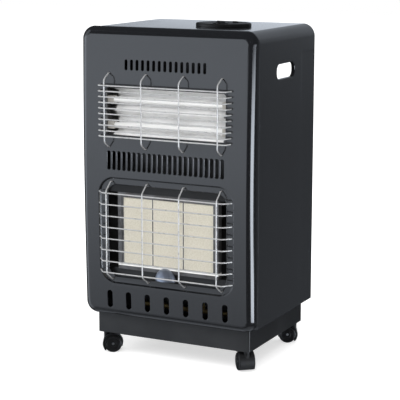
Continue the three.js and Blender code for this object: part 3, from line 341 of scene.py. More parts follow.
def joined(*parts):
    """Several meshes as one, each still its own body."""
    whole = parts[0]
    for part in parts[1:]:
        mesh = bpy.data.meshes.new("part")
        part.to_mesh(mesh)
        part.free()
        whole.from_mesh(mesh)
        bpy.data.meshes.remove(mesh)
    return whole


def finished_mesh(thing):
    """The mesh of a curve, or of an object with its modifiers. The object itself goes."""
    graph = bpy.context.evaluated_depsgraph_get()
    mesh = bpy.data.meshes.new_from_object(thing.evaluated_get(graph))
    bm = bmesh.new()
    bm.from_mesh(mesh)
    bpy.data.objects.remove(thing)
    bpy.data.meshes.remove(mesh)
    return bm


def shaped(bm, *changes):
    """The mesh after each (operation, tool) in turn: DIFFERENCE or UNION."""
    for operation, tool_bm in changes:
        body = plain_object("body", bm)
        tool = plain_object("tool", tool_bm)
        change = body.modifiers.new("change", "BOOLEAN")
        change.operation = operation
        change.object = tool
        change.solver = "EXACT"
        bm = finished_mesh(body)
        bpy.data.objects.remove(tool)
    bmesh.ops.remove_doubles(bm, verts=bm.verts, dist=1e-6)
    return bm


def piece(name, bm, material, nodes, body="cabinet", sharp=32):
    """A finished piece: smooth but for its sharp edges, riding on its body in place of its CAD nodes."""
    thing = plain_object(name, bm)
    thing.data.shade_smooth()
    thing.data.set_sharp_from_angle(angle=sharp * degree)
    weighted = thing.modifiers.new("face_weight", "WEIGHTED_NORMAL")
    weighted.keep_sharp = True
    thing.data.materials.append(material)
    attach(thing, body)
    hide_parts(*nodes)
    return thing


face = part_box("front_panel")[0].y + 8 * mm
tray_low, tray_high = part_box("base_tray")
tray_sheet = 1.5 * mm
tray_side, tray_front, tray_back = 189 * mm, 25 * mm, 313 * mm
tray_middle = (0, face + (tray_front + tray_back) / 2)
tray_half = (tray_side, (tray_back - tray_front) / 2)
tray_corner = 3.5 * mm
rim_middle = (0, (tray_low.y + tray_high.y) / 2)
rim_half = (tray_high.x, (tray_high.y - tray_low.y) / 2)
rim_rings = [(tray_high.z - tray_sheet, 0), (tray_high.z, 0)]
tray_rings = rings_from(tray_low.z, [(0, -2.4), (0.4, -0.9), (1.6, 0)]) + [(tray_high.z, 0)]
hollow_rings = [(tray_low.z + tray_sheet, -tray_sheet), (tray_high.z + tray_sheet, -tray_sheet)]
vent_rings = rings_from(tray_low.z, [(-10, 0), (10, 0)])
vent_pitch = 50 * mm
vent_half = (6 * mm, 60 * mm)
vents = [
    loft(vent_rings, (i * vent_pitch, tray_middle[1]), vent_half, vent_half[0], facing_up, steps=4)
    for i in range(-2, 3)
]
joints = {joint["name"]: joint for joint in frame["joints"]}
corners = ("front_left", "front_right", "rear_left", "rear_right")
stems = {corner: Vector(joints[corner + "_swivel"]["pos_m"]) for corner in corners}
socket_foot, socket_head = tray_low.z + 0.5 * mm, 60 * mm
socket_radius, socket_bore = 7.5 * mm, 5.35 * mm


def at_corners(radius, low, high):
    return joined(*[cylinder(radius, low, high, "z", stems[corner], 32) for corner in corners])


tray = shaped(
    loft(tray_rings, tray_middle, tray_half, tray_corner, facing_up),
    ("UNION", loft(rim_rings, rim_middle, rim_half, 2 * mm, facing_up)),
    ("DIFFERENCE", loft(hollow_rings, tray_middle, tray_half, tray_corner, facing_up)),
    ("DIFFERENCE", joined(*vents)),
)
tray = shaped(
    tray, ("UNION", at_corners(socket_radius, socket_foot, socket_head)),
    ("DIFFERENCE", at_corners(socket_bore, socket_foot - 5 * mm, socket_head + 5 * mm)))
piece("tray_shell", tray, satin_black, ["base_tray"])

# The castors. Each has a moulded hood on a steel stem that turns in its socket, and two hard plastic wheels on
# a pressed-in steel axle. They stand turned about as they came to rest when the heater was last pushed.
def plastic(name, colour, roughness, grain, grain_depth):
    """Moulded plastic: an even spark-eroded grain with faint flow marks."""
    material, place = blank_material(name)
    flow = noise(place, 30.0, 3.0, (1, 1, 0.3)).between(0.35, 0.7, 0.0, 1.0)
    close_material(place, {
        "Base Color": tint(flow, colour, shade(colour, 1.35, 0.002)),
        "Roughness": roughness + 0.08 * flow,
        "Normal": bump(noise(place, grain), grain_depth),
    })
    return material


def turned_steel(name, colour, roughness):
    """Plated or turned metal: fine tool marks, and patches of duller plating."""
    material, place = blank_material(name)
    dull = noise(place, 45.0, 4.0).between(0.4, 0.7, 0.0, 1.0)
    close_material(place, {
        "Base Color": tint(dull, colour, shade(colour, 0.72)),
        "Metallic": 1.0,
        "Roughness": roughness + 0.15 * dull,
        "Normal": bump(noise(place, 900.0), 0.05 * mm),
    })
    return material


matte_plastic = plastic("matte_black_plastic_finish", (0.0070, 0.0070, 0.0074, 1), 0.50, 1500.0, 0.05 * mm)
black_plastic = plastic("black_plastic_finish", (0.0060, 0.0060, 0.0064, 1), 0.34, 2200.0, 0.02 * mm)
zinc = turned_steel("zinc_steel_finish", (0.56, 0.57, 0.58, 1), 0.32)


def block(low, high):
    bm = bmesh.new()
    low, high = Vector(low), Vector(high)
    place = Matrix.Translation((low + high) / 2) @ Matrix.Diagonal((*(high - low), 1))
    bmesh.ops.create_cube(bm, size=1, matrix=place)
    return bm


def bevel_edges(bm, edges, offset, segments=3):
    bmesh.ops.bevel(
        bm, geom=edges, offset=offset, offset_type="OFFSET", affect="EDGES", segments=segments, profile=0.5,
        material=-1, clamp_overlap=True)


def sharp_edges(bm, angle=60):
    return [e for e in bm.edges if e.is_manifold and e.calc_face_angle() > angle * degree]


def spun(points, axis, centre, steps=48):
    """A turned body: (distance along the axis, radius) points that start and end on the axis, or close."""
    bm = bmesh.new()
    axis_way = {"x": Vector((1, 0, 0)), "y": Vector((0, 1, 0)), "z": Vector((0, 0, 1))}[axis]
    out = {"x": Vector((0, 0, 1)), "y": Vector((1, 0, 0)), "z": Vector((1, 0, 0))}[axis]
    dots = [bm.verts.new(Vector(centre) + radius * out + reach * axis_way) for reach, radius in points]
    line = [bm.edges.new(pair) for pair in zip(dots, dots[1:])]
    bmesh.ops.spin(
        bm, geom=dots + line, cent=centre, axis=axis_way, angle=2 * math.pi, steps=steps, use_merge=True)
    bmesh.ops.remove_doubles(bm, verts=bm.verts, dist=1e-6)
    return outwards(bm)


axle_up = 20 * mm
castor_trail = 15 * mm
castor_reach = 60 * mm
hood_inside, hood_outside, hood_half, hood_foot = 21.6 * mm, 23.8 * mm, 17.8 * mm, 5 * mm
web_half, web_foot, web_front = 6 * mm, 11.5 * mm, 15 * mm
neck_radius, neck_top = 6.5 * mm, 46.7 * mm
stem_radius, stem_top = 5 * mm, 62.5 * mm
head_radius, head_foot, head_top = 6.75 * mm, 60.3 * mm, 62.8 * mm
axle_radius = 3 * mm
wheel_width = 11.5 * mm
wheel_near = web_half + 0.3 * mm
axle_centre = (-castor_trail, 0, axle_up)


def cut_away(back, front, top):
    """A cut right across the castor, from below it up to a height."""
    return "DIFFERENCE", block((back, -30 * mm, -10 * mm), (front, 30 * mm, top))


hood = cylinder(hood_outside, -hood_half, hood_half, "y", axle_centre, 72)
bevel_edges(hood, sharp_edges(hood), 2.6 * mm, 5)
neck = cylinder(neck_radius, axle_up + 2 * mm, neck_top, "z", (0, 0, 0), 32)
bevel_edges(neck, [e for e in sharp_edges(neck) if e.verts[0].co.z > axle_up + 5 * mm], 1.2 * mm)
web = cylinder(hood_inside + 0.6 * mm, -web_half, web_half, "y", axle_centre, 72)
rooms = [
    cylinder(hood_inside + 0.3 * mm, low, high, "y", axle_centre, 72)
    for low, high in ((-hood_half, -web_half), (web_half, hood_half))
]
hood = shaped(
    hood,
    ("DIFFERENCE", cylinder(hood_inside, -hood_half - 10 * mm, hood_half + 10 * mm, "y", axle_centre, 72)),
    cut_away(-castor_reach, -castor_trail - 9 * mm, castor_reach),
    cut_away(-castor_reach, -castor_trail, axle_up),
    cut_away(-castor_reach, castor_reach, hood_foot),
    ("UNION", shaped(
        web, cut_away(-castor_reach, castor_reach, web_foot), cut_away(web_front, castor_reach, castor_reach))),
    ("UNION", shaped(neck, ("DIFFERENCE", joined(*rooms)))),
    ("DIFFERENCE", cylinder(axle_radius + 0.3 * mm, -20 * mm, 20 * mm, "y", axle_centre, 32)),
    ("UNION", cylinder(stem_radius, neck_top - 1 * mm, stem_top, "z", (0, 0, 0), 32)),
    ("UNION", cylinder(head_radius, head_foot, head_top, "z", (0, 0, 0), 32)),
)
axle_half = wheel_near + wheel_width - 1.5 * mm
axle = cylinder(axle_radius, -axle_half, axle_half, "y", axle_centre, 32)
bevel_edges(axle, sharp_edges(axle), 0.5 * mm)
wheel_outline = [
    (0, 3.05), (0, 18.4), (0.35, 19.4), (1.2, 19.9), (2.2, 20), (5.0, 20), (5.3, 19.75), (5.9, 19.75), (6.2, 20),
    (8.6, 20), (9.8, 19.7), (10.8, 18.9), (11.4, 17.6), (11.5, 16.2), (11.2, 15.2), (10.4, 14.6), (9.6, 13.6),
    (9.3, 9.4), (9.6, 7.4), (10.4, 6.6), (10.6, 5.6), (10.6, 4.4), (10.4, 3.05), (0, 3.05),
]
wheels = {
    name: spun(rings_from(side * wheel_near, wheel_outline, side), "y", axle_centre, 60)
    for name, side in (("left", 1), ("right", -1))
}
for corner in corners:
    stem = stems[corner]
    trail = Vector(joints[corner + "_spin_left"]["pos_m"]) - stem
    heading = math.atan2(-trail.y, -trail.x)
    stand = Matrix.Translation((stem.x, stem.y, 0)) @ Matrix.Rotation(heading, 4, "Z")
    castor = f"castor_{corner}"
    for name, made, material, node, body in (
        (f"castor_hood_{corner}", hood, matte_plastic, "body", castor),
        (f"axle_pin_{corner}", axle, zinc, "axle", castor),
        (f"wheel_{corner}_left", wheels["left"], black_plastic, "wheel_left", f"{corner}_wheel_left"),
        (f"wheel_{corner}_right", wheels["right"], black_plastic, "wheel_right", f"{corner}_wheel_right"),
    ):
        turned = made.copy()
        bmesh.ops.transform(turned, matrix=stand, verts=turned.verts)
        piece(name, turned, material, [f"{castor}_{node}"], body)

# The cabinet. One sheet of 1.2 mm steel is folded over the top with a soft bend at both upper corners, flanged
# at the front, rear and foot, and enamelled gloss black. A hand hole with a turned-in rim is cut in each side,
# and the rear part of each side is pressed in by a millimetre.
enamel_colour = (0.0085, 0.0090, 0.0105, 1)
dusty_enamel = (0.013, 0.0135, 0.015, 1)
enamel, place = blank_material("gloss_black_enamel_finish")
dust = noise(place, 6.0, 5.0).between(0.5, 0.75, 0.0, 1.0)
orange_peel = noise(place, 260.0) * 0.3 + noise(place, 14.0, 1.0)
close_material(place, {
    "Base Color": tint(dust, enamel_colour, dusty_enamel),
    "Roughness": 0.16 + 0.08 * dust,
    "Coat Weight": 1.0 - 0.25 * dust,
    "Coat Roughness": 0.07,
    "Normal": bump(orange_peel, 0.05 * mm),
})


def sliced(bm, place, normal, clear=False):
    """Cuts the faces along a plane, and with clear drops what lies behind it."""
    whole = bm.verts[:] + bm.edges[:] + bm.faces[:]
    bmesh.ops.bisect_plane(bm, geom=whole, plane_co=place, plane_no=normal, clear_inner=clear)


def open_edges(bm):
    return [e for e in bm.edges if e.is_boundary]


def points_of(geometry):
    return [part for part in geometry if isinstance(part, bmesh.types.BMVert)]


def centre_of(box):
    low, high = box
    return (low + high) / 2


def smooth_step(value, low, high):
    share = min(1, max(0, (value - low) / (high - low)))
    return share * share * (3 - 2 * share)


def thickened(bm, thickness):
    """A sheet given its thickness, inwards from its outer face."""
    body = plain_object("sheet", bm)
    wall = body.modifiers.new("wall", "SOLIDIFY")
    wall.thickness = thickness
    wall.offset = -1
    wall.use_even_offset = True
    return finished_mesh(body)


sheet = 1.2 * mm
cabinet_corner = 28 * mm
front_flange, rear_flange, foot_flange = 12 * mm, 30 * mm, 21 * mm
wrap_low, wrap_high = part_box("cabinet_wrap")
wrap_front, wrap_back = wrap_low.y, wrap_high.y
below_foot = 100 * mm
wrap_middle = (0, (wrap_high.z - below_foot) / 2)
wrap_half = (wrap_high.x, (wrap_high.z + below_foot) / 2)
folded_edge = [(0, -2.2), (0.25, -1.1), (0.9, -0.35), (2.2, 0)]
wrap_rings = [
    (wrap_front, -front_flange), *rings_from(wrap_front, folded_edge),
    *rings_from(wrap_back, folded_edge[::-1], -1), (wrap_back, -rear_flange),
]
wrap = loft(
    wrap_rings, wrap_middle, wrap_half, cabinet_corner, facing_front, steps=12, caps=False, least=3 * mm)
sliced(wrap, (0, 0, wrap_low.z), (0, 0, 1), clear=True)
foot = [e for e in open_edges(wrap) if all(
    abs(v.co.z - wrap_low.z) < 1e-6 and abs(v.co.x) > wrap_high.x - 1e-4 for v in e.verts)]
for vertex in points_of(bmesh.ops.extrude_edge_only(wrap, edges=foot)["geom"]):
    vertex.co.x -= math.copysign(foot_flange, vertex.co.x)

step_at = face + 245 * mm
step_top = 680 * mm
step_soft = 1.6 * mm
step_depth = 1 * mm
for part in (-5, -2, -1, 0, 1, 2, 5):
    aside = part * step_soft / 2
    sliced(wrap, (0, step_at + aside, 0), (0, 1, 0))
    sliced(wrap, (0, 0, step_top + aside), (0, 0, 1))
for vertex in wrap.verts:
    if abs(vertex.co.x) > wrap_high.x - 1e-5:
        pressed = smooth_step(vertex.co.y, step_at - step_soft, step_at + step_soft)
        pressed *= 1 - smooth_step(vertex.co.z, step_top - step_soft, step_top + step_soft)
        vertex.co.x -= math.copysign(step_depth * pressed, vertex.co.x)

bezel_low, bezel_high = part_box("control_bezel")
bezel_middle = (bezel_low + bezel_high) / 2
bezel_half = (bezel_high - bezel_low) / 2


def oval_rings(rings, segments=96):
    """Ovals bridged into one body. Each ring is (height, growth) of the control plate's outline."""
    bm = bmesh.new()
    last = None
    for number, (height, growth) in enumerate(rings):
        end = number in (0, len(rings) - 1)
        ring = bmesh.ops.create_circle(bm, cap_ends=end, segments=segments, radius=1)["verts"]
        for vertex in ring:
            vertex.co = (
                bezel_middle.x + (bezel_half.x + growth) * vertex.co.x,
                bezel_middle.y + (bezel_half.y + growth) * vertex.co.y, height)
        for i in range(segments if last else 0):
            bm.faces.new((last[i - 1], last[i], ring[i], ring[i - 1]))
        last = ring
    return outwards(bm)


cover_screw = centre_of(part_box("cover_screw_right"))


def screw_holes(y):
    return [
        cylinder(3.2 * mm, y - 6 * mm, y + 6 * mm, "y", (side * cover_screw.x, 0, cover_screw.z), 24)
        for side in (-1, 1)
    ]


handle_outline = ((face + 157.5 * mm, 647 * mm), (47.5 * mm, 16 * mm), 14 * mm, facing_side)
handle_lip = 1.8
rims = []
holes = []
for side in (-1, 1):
    outer = side * wrap_high.x
    rim_rings = rings_from(outer, [(0.6, 1.2), (8.2, 1.2)], -side)
    rims.append(loft(rim_rings, *handle_outline, steps=8))
    hole_rings = rings_from(outer, [
        (-3, handle_lip), (0, handle_lip), (0.18 * handle_lip, 0.55 * handle_lip),
        (0.5 * handle_lip, 0.18 * handle_lip), (handle_lip, 0), (12, 0),
    ], -side)
    holes.append(loft(hole_rings, *handle_outline, steps=8))
plug_hole = 5.7
holes += screw_holes(wrap_back)
holes.append(oval_rings(rings_from(wrap_high.z, [(-5, -plug_hole), (5, -plug_hole)]), 72))
wrap = shaped(thickened(wrap, sheet), ("UNION", joined(*rims)), ("DIFFERENCE", joined(*holes)))
piece("cabinet_shell", wrap, enamel, ["cabinet_wrap"])

# The burner. Three perforated ceramic plaques sit in a steel frame. Gas burns on their faces, so they are pale
# cream with warmer patches, and each has over a thousand fine holes. The frame's grey lip has a near-white band.
cream_ceramic, place = blank_material("cream_ceramic_finish")
heat = noise(place, 300.0, 3.0).between(0.36, 0.72, 0.0, 1.0)
chalk = noise(place, 1600.0)
close_material(place, {
    "Base Color": tint(heat, (0.87, 0.84, 0.75, 1), (0.77, 0.735, 0.63, 1)),
    "Roughness": 0.85 + 0.1 * chalk,
    "Normal": bump(chalk, 0.12 * mm),
})

hole_pitch = 2.7 * mm
hole_margin = 2.2 * mm
hole_wall = 0.62 * mm
hole_depth = 2.4 * mm
for name in ("left", "middle", "right"):
    low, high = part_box("plaque_" + name)
    middle = (low + high) / 2
    columns, rows = (round((high[i] - low[i] - 2 * hole_margin) / hole_pitch) for i in (0, 2))
    ladders = []
    for count, foot, head in ((columns, low.x, high.x), (rows, low.z, high.z)):
        inner = head - foot - 2 * hole_margin
        ladders.append([foot, *[foot + hole_margin + inner * i / count for i in range(count + 1)], head])
    plaque = bmesh.new()
    bmesh.ops.create_grid(plaque, x_segments=columns + 2, y_segments=rows + 2, size=0.5)
    for vertex in plaque.verts:
        column = round((vertex.co.x + 0.5) * (columns + 2))
        row = round((vertex.co.y + 0.5) * (rows + 2))
        vertex.co = (ladders[0][column], low.y, ladders[1][row])
    for vertex in points_of(bmesh.ops.extrude_edge_only(plaque, edges=open_edges(plaque))["geom"]):
        vertex.co.y = high.y
    bmesh.ops.holes_fill(plaque, edges=open_edges(plaque))
    outwards(plaque)
    inside_x, inside_z = (high[i] - middle[i] - hole_margin / 2 for i in (0, 2))
    cells = [
        f for f in plaque.faces
        if f.normal.y < -0.9 and all(
            abs(v.co.x - middle.x) < inside_x and abs(v.co.z - middle.z) < inside_z for v in f.verts)
    ]
    bmesh.ops.inset_individual(plaque, faces=cells, thickness=hole_wall)
    pits = bmesh.ops.extrude_discrete_faces(plaque, faces=cells)["faces"]
    for vertex in {v for pit in pits for v in pit.verts}:
        vertex.co.y += hole_depth
    piece("ceramic_plaque_" + name, plaque, cream_ceramic, ["plaque_" + name])

plaque_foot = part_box("plaque_left")[0].z
lip_foot = plaque_foot - 4.2 * mm
burner_grey, place = blank_material("burner_grey_finish")
height = along(place, "Z")
# A near-white, hardly metallic band along the frame's lip, just below the plaques.
near_white_lip_band = height.between(lip_foot - 0.6 * mm, lip_foot, 0.0, 1.0)
near_white_lip_band = near_white_lip_band * height.between(plaque_foot + 0.5 * mm, plaque_foot + 1.5 * mm, 1.0, 0.0)
heat = noise(place, 30.0, 4.0).between(0.4, 0.7, 0.0, 1.0)
grey = tint(heat, (0.16, 0.16, 0.165, 1), (0.09, 0.085, 0.085, 1))
close_material(place, {
    "Base Color": tint(near_white_lip_band, grey, (0.95, 0.95, 0.93, 1)),
    "Metallic": 0.55 - 0.45 * near_white_lip_band,
    "Roughness": 0.42 + 0.18 * heat,
    "Normal": bump(noise(place, 500.0), 0.04 * mm),
})

# Painted shade: burner box and heat shield are coloured far darker than bare zinc; the stain patches are random.
shade_darkened_zinc, place = blank_material("zinc_sheet_finish")
rolled = noise(place, 160.0, 3.0, (0.06, 1, 1))
stain = noise(place, 24.0, 4.0).between(0.4, 0.7, 0.0, 1.0)
close_material(place, {
    "Base Color": tint(stain, (0.11, 0.11, 0.112, 1), (0.06, 0.058, 0.055, 1)),
    "Metallic": 0.8,
    "Roughness": 0.50 + 0.18 * stain - 0.08 * rolled,
    "Normal": bump(rolled, 0.04 * mm),
})

brass = turned_steel("brass_finish", (0.62, 0.44, 0.19, 1), 0.30)
porcelain = plastic("white_porcelain_finish", (0.36, 0.345, 0.32, 1), 0.30, 600.0, 0.03 * mm)
for finish, nodes in (
    (burner_grey, ["burner_frame"]),
    (shade_darkened_zinc, ["burner_box", "heat_shield"]),
    (satin_black, ["burner_hood", "burner_shelf"]),
    (zinc, ["mixing_tube_left", "mixing_tube_middle", "mixing_tube_right", "pilot_burner", "thermocouple"]),
    (brass, ["injector_rail", "gas_valve", "valve_rotor"]),
    (porcelain, ["spark_electrode"]),
    (matte_plastic, ["switch_block"]),
):
    for node in nodes:
        for material_slot in frame["nodes"][node].material_slots:
            material_slot.material = finish

# The pilot's shield is a small dome of polished aluminium sheet, open behind and below.
dark_ends_from = 138 * mm
dark_ends_soft = 6 * mm


def polished(name, colour, metallic, roughness, streak_depth):
    """Bright rolled aluminium: long level streaks, soft patches, and near-black colour towards both ends."""
    material, place = blank_material(name)
    streaks = noise(place, 240.0, 4.0, (0.025, 1, 1))
    clouds = noise(place, 26.0, 3.0).between(0.4, 0.7, 0.0, 1.0)
    # Near black towards both ends, from a set distance out from the middle, with a noisy border.
    aside = place.maths("ABSOLUTE", along(place, "X")) + 16 * mm * noise(place, 90.0, 3.0)
    dark_ends = aside.between(dark_ends_from, dark_ends_from + dark_ends_soft, 0.0, 1.0)
    close_material(place, {
        "Base Color": tint(dark_ends, tint(clouds, colour, shade(colour, 0.86)), (0.035, 0.034, 0.034, 1)),
        "Metallic": metallic,
        "Roughness": roughness + 0.12 * streaks,
        "Normal": bump(streaks, streak_depth),
    })
    return material


shield_metal = polished("pilot_shield_finish", (0.34, 0.38, 0.47, 1), 0.85, 0.34, 0.1 * mm)
low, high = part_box("pilot_shield")
dome_centre = Vector(((low.x + high.x) / 2, high.y, low.z))
dome_size = Matrix.Diagonal(((high.x - low.x) / 2, high.y - low.y, high.z - low.z, 1))
dome = bmesh.new()
bmesh.ops.create_uvsphere(
    dome, u_segments=48, v_segments=32, radius=1,
    matrix=Matrix.Translation(dome_centre) @ dome_size @ Matrix.Rotation(90 * degree, 4, "Y"))
for normal in ((0, -1, 0), (0, 0, 1)):
    sliced(dome, dome_centre, normal, clear=True)
piece("pilot_dome", thickened(dome, 1 * mm), shield_metal, ["pilot_shield"])

# The electric part. Two frosted quartz tubes with a wound heating wire in each hang in a reflector, which is one
# sheet of polished aluminium folded into two troughs, with end plates. Square porcelain caps hold the tubes.
bright_aluminium = polished("polished_aluminium_finish", (0.99, 0.99, 0.99, 1), 0.14, 0.24, 0.4 * mm)
levels = ("lower", "upper")
low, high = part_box("tube_reflector")
deep = 36 * mm
ridge = 12 * mm
flange = 7 * mm
plate_sheet = 1 * mm
trough_floor = 12 * mm
reflector_foot, reflector_head = 503 * mm, 613 * mm
ridge_z = (reflector_foot + reflector_head) / 2
trough_line = [(0, reflector_foot - flange), (0, reflector_foot)]
for trough_from, trough_to, depth_from, depth_to in (
    (reflector_foot, ridge_z, 0, ridge), (ridge_z, reflector_head, ridge, 0),
):
    trough_middle = (trough_from + trough_to) / 2
    trough_line += [
        (depth_from + (deep - depth_from) * 0.72, trough_from + (trough_middle - trough_from) * 0.36),
        (deep, trough_middle - trough_floor),
        (deep, trough_middle + trough_floor),
        (depth_to + (deep - depth_to) * 0.72, trough_to - (trough_to - trough_middle) * 0.36),
        (depth_to, trough_to),
    ]
trough_line.append((0, reflector_head + flange))
trough = bmesh.new()
dots = [trough.verts.new((low.x, low.y + depth, z)) for depth, z in trough_line]
line = [trough.edges.new(pair) for pair in zip(dots, dots[1:])]
drawn_out = points_of(bmesh.ops.extrude_edge_only(trough, edges=line)["geom"])
bmesh.ops.translate(trough, vec=(high.x - low.x, 0, 0), verts=drawn_out)
folds = [
    e for e in sharp_edges(trough, 2.5)
    if e.calc_face_angle() < 80 * degree and reflector_foot + 2 * mm < e.verts[0].co.z < reflector_head - 2 * mm
]
bevel_edges(trough, folds, 4.2 * mm, 6)
for trough_face in trough.faces:
    if trough_face.normal.y > 0:
        trough_face.normal_flip()
plates = []
for name, side in (("left", -1), ("right", 1)):
    outer = side * high.x
    plate = bmesh.new()
    plate.faces.new([
        plate.verts.new((outer, low.y + depth + plate_sheet / 2, z)) for depth, z in trough_line[1:-1]
    ])
    grown = points_of(bmesh.ops.extrude_face_region(plate, geom=plate.faces[:])["geom"])
    bmesh.ops.translate(plate, vec=(-side * plate_sheet, 0, 0), verts=grown)
    cap_holes = []
    for level in levels:
        cap_low, cap_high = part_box(f"tube_cap_{level}_{name}")
        room = Vector((0, 0.3 * mm, 0.3 * mm))
        cap_low = Vector((outer - 5 * mm, cap_low.y, cap_low.z)) - room
        cap_high = Vector((outer + 5 * mm, cap_high.y, cap_high.z)) + room
        cap_holes.append(block(cap_low, cap_high))
    plates.append(shaped(outwards(plate), ("DIFFERENCE", joined(*cap_holes))))
reflector = joined(thickened(trough, plate_sheet), *plates)
piece("folded_reflector", reflector, bright_aluminium, ["tube_reflector"], sharp=40)

quartz, place = blank_material("frosted_quartz_finish")
frost = noise(place, 500.0, 3.0)
cloud = noise(place, 30.0, 3.0, (0.3, 1, 1)).between(0.4, 0.7, 0.0, 1.0)
close_material(place, {
    "Base Color": tint(cloud, (0.985, 0.985, 0.98, 1), (0.93, 0.935, 0.935, 1)),
    "Roughness": 0.42 + 0.1 * frost,
    "Transmission Weight": 0.08,
    "Coat Weight": 0.4,
    "Coat Roughness": 0.15,
    "Normal": bump(frost, 0.03 * mm),
})

coil_metal = turned_steel("resistance_wire_finish", (0.30, 0.27, 0.25, 1), 0.5)
tube_wall = 1.4 * mm
end_round = 0.35 * mm
coil_wire = 0.42 * mm
coil_turns = 80
steps_per_turn = 10
for level in levels:
    low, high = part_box("quartz_tube_" + level)
    centre = (0, (low.y + high.y) / 2, (low.z + high.z) / 2)
    outside = (high.z - low.z) / 2
    inside = outside - tube_wall
    profile = [
        (low.x, inside), (low.x, outside - end_round), (low.x + end_round, outside),
        (high.x - end_round, outside), (high.x, outside - end_round), (high.x, inside), (low.x, inside),
    ]
    piece("heating_tube_" + level, spun(profile, "x", centre, 40), quartz, ["quartz_tube_" + level])

    coil_low, coil_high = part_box("heating_coil_" + level)
    coil_radius = (coil_high.z - coil_low.z) / 2 - 0.45 * mm
    coil_start = Matrix.Translation((coil_low.x + 1 * mm, centre[1], centre[2] + coil_radius))
    coil = bmesh.new()
    ring = bmesh.ops.create_circle(
        coil, segments=6, radius=coil_wire, matrix=coil_start @ Matrix.Rotation(90 * degree, 4, "X"))["verts"]
    coil_pitch = (coil_high.x - coil_low.x - 2 * mm) / coil_turns
    bmesh.ops.spin(
        coil, geom=ring + coil.edges[:], cent=(coil_low.x, centre[1], centre[2]), axis=(1, 0, 0),
        dvec=(coil_pitch / steps_per_turn, 0, 0), angle=coil_turns * 2 * math.pi,
        steps=coil_turns * steps_per_turn)
    bmesh.ops.holes_fill(coil, edges=open_edges(coil))
    piece("wound_wire_" + level, outwards(coil), coil_metal, ["heating_coil_" + level], sharp=80)

    for side in ("left", "right"):
        cap_low, cap_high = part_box(f"tube_cap_{level}_{side}")
        cap = block(cap_low, cap_high)
        bevel_edges(cap, cap.edges[:], 1.1 * mm)
        pocket = (coil_low.x - 0.6 * mm, cap_high.x + 5 * mm)
        if side == "right":
            pocket = (cap_low.x - 5 * mm, coil_high.x + 0.6 * mm)
        cap = shaped(
            cap, ("DIFFERENCE", cylinder(outside + 0.3 * mm, *pocket, "x", centre, 40)),
            ("DIFFERENCE", cylinder(2 * mm, cap_low.x - 5 * mm, cap_high.x + 5 * mm, "x", centre, 24)))
        piece(f"porcelain_cap_{level}_{side}", cap, porcelain, [f"tube_cap_{level}_{side}"])

# The fascia. One drawn sheet in front of everything, bowed a little forward at mid height, with a wide rounding
# all round, flared louvre slots, a shallow recess round the burner window and a window for the heating tubes.
fascia_low, fascia_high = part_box("front_panel")
fascia_side, fascia_foot, fascia_head = 210 * mm, 96 * mm, 740 * mm
fascia_middle = (0, (fascia_foot + fascia_head) / 2)
fascia_half = (fascia_side, (fascia_head - fascia_foot) / 2)
fascia_back = face + 19 * mm
fascia_round = 17 * mm
fascia_rings = [(fascia_back, 0)]
for depth, growth in quarter_round(8, fascia_round, fascia_round):
    fascia_rings.append((face + fascia_round - depth, growth))
fascia = loft(fascia_rings, fascia_middle, fascia_half, cabinet_corner, facing_front, steps=10)

recess_side, recess_foot, recess_head = 164 * mm, 173 * mm, 412.5 * mm
recess_middle = (0, (recess_head + recess_foot) / 2)
recess_half = (recess_side, (recess_head - recess_foot) / 2)
recess_corner = 38 * mm
recess_depth = 4 * mm
recess_step = 3 * mm
recess_rings = rings_from(face, [(-3, 0.9), (0, 0.9), (0.15, 0.35)])
for share in (0.15, 0.35, 0.6, 0.85, 1.0):
    recess_rings.append((face + recess_depth * smooth_step(share, -0.05, 1), -recess_step * share))
recess_rings.append((face + recess_depth, -14 * mm))
recess = loft(recess_rings, recess_middle, recess_half, recess_corner, facing_front, steps=10)
fascia = shaped(fascia, ("DIFFERENCE", recess))
back_faces = [f for f in fascia.faces if f.calc_center_median().y > fascia_back - 1e-6]
bmesh.ops.delete(fascia, geom=back_faces, context="FACES")

hems = []
openings = []
lip = 1.4
for foot, head, side, corner, front_of, depth in (
    (188.5, 396, 144.5, 24, face + recess_depth, 3), (507, 609, 144, 6, face, 4),
):
    window = ((0, (foot + head) / 2 * mm), (side * mm, (head - foot) / 2 * mm), corner * mm, facing_front)
    inner = front_of + sheet
    hem_rings = [(front_of + 0.6 * mm, sheet), *rings_from(inner, [(depth - 0.6, 1.2), (depth, 0.7)])]
    hems.append(loft(hem_rings, *window, steps=8))
    opening_rings = rings_from(front_of, [
        (-3, lip), (0, lip), (0.2 * lip, 0.5 * lip), (0.55 * lip, 0.15 * lip), (lip, 0), (30, 0),
    ])
    openings.append(loft(opening_rings, *window, steps=8))


def slot_tool(x, z, width, height, near, far):
    """A cutter for one slot with round ends, wider at its mouth by a lip."""
    lip = 0.9 * mm
    way = math.copysign(lip, far - near)
    rings = [(near - 3 * way, lip), (near, lip), (near + 0.4 * way, 0.35 * lip), (near + 1.2 * way, 0), (far, 0)]
    return loft(rings, (x, z), (width / 2, height / 2), width / 2 - 0.01 * mm, facing_front, steps=4)


for count, pitch, z, width, height in (
    (15, 13.5, 660, 5.5, 22), (23, 12.5, 450.5, 7.5, 41), (7, 47.4, 136, 12, 39),
):
    for i in range(count):
        x = (i - (count - 1) / 2) * pitch * mm
        openings.append(slot_tool(x, z * mm, width * mm, height * mm, face, face + 12 * mm))

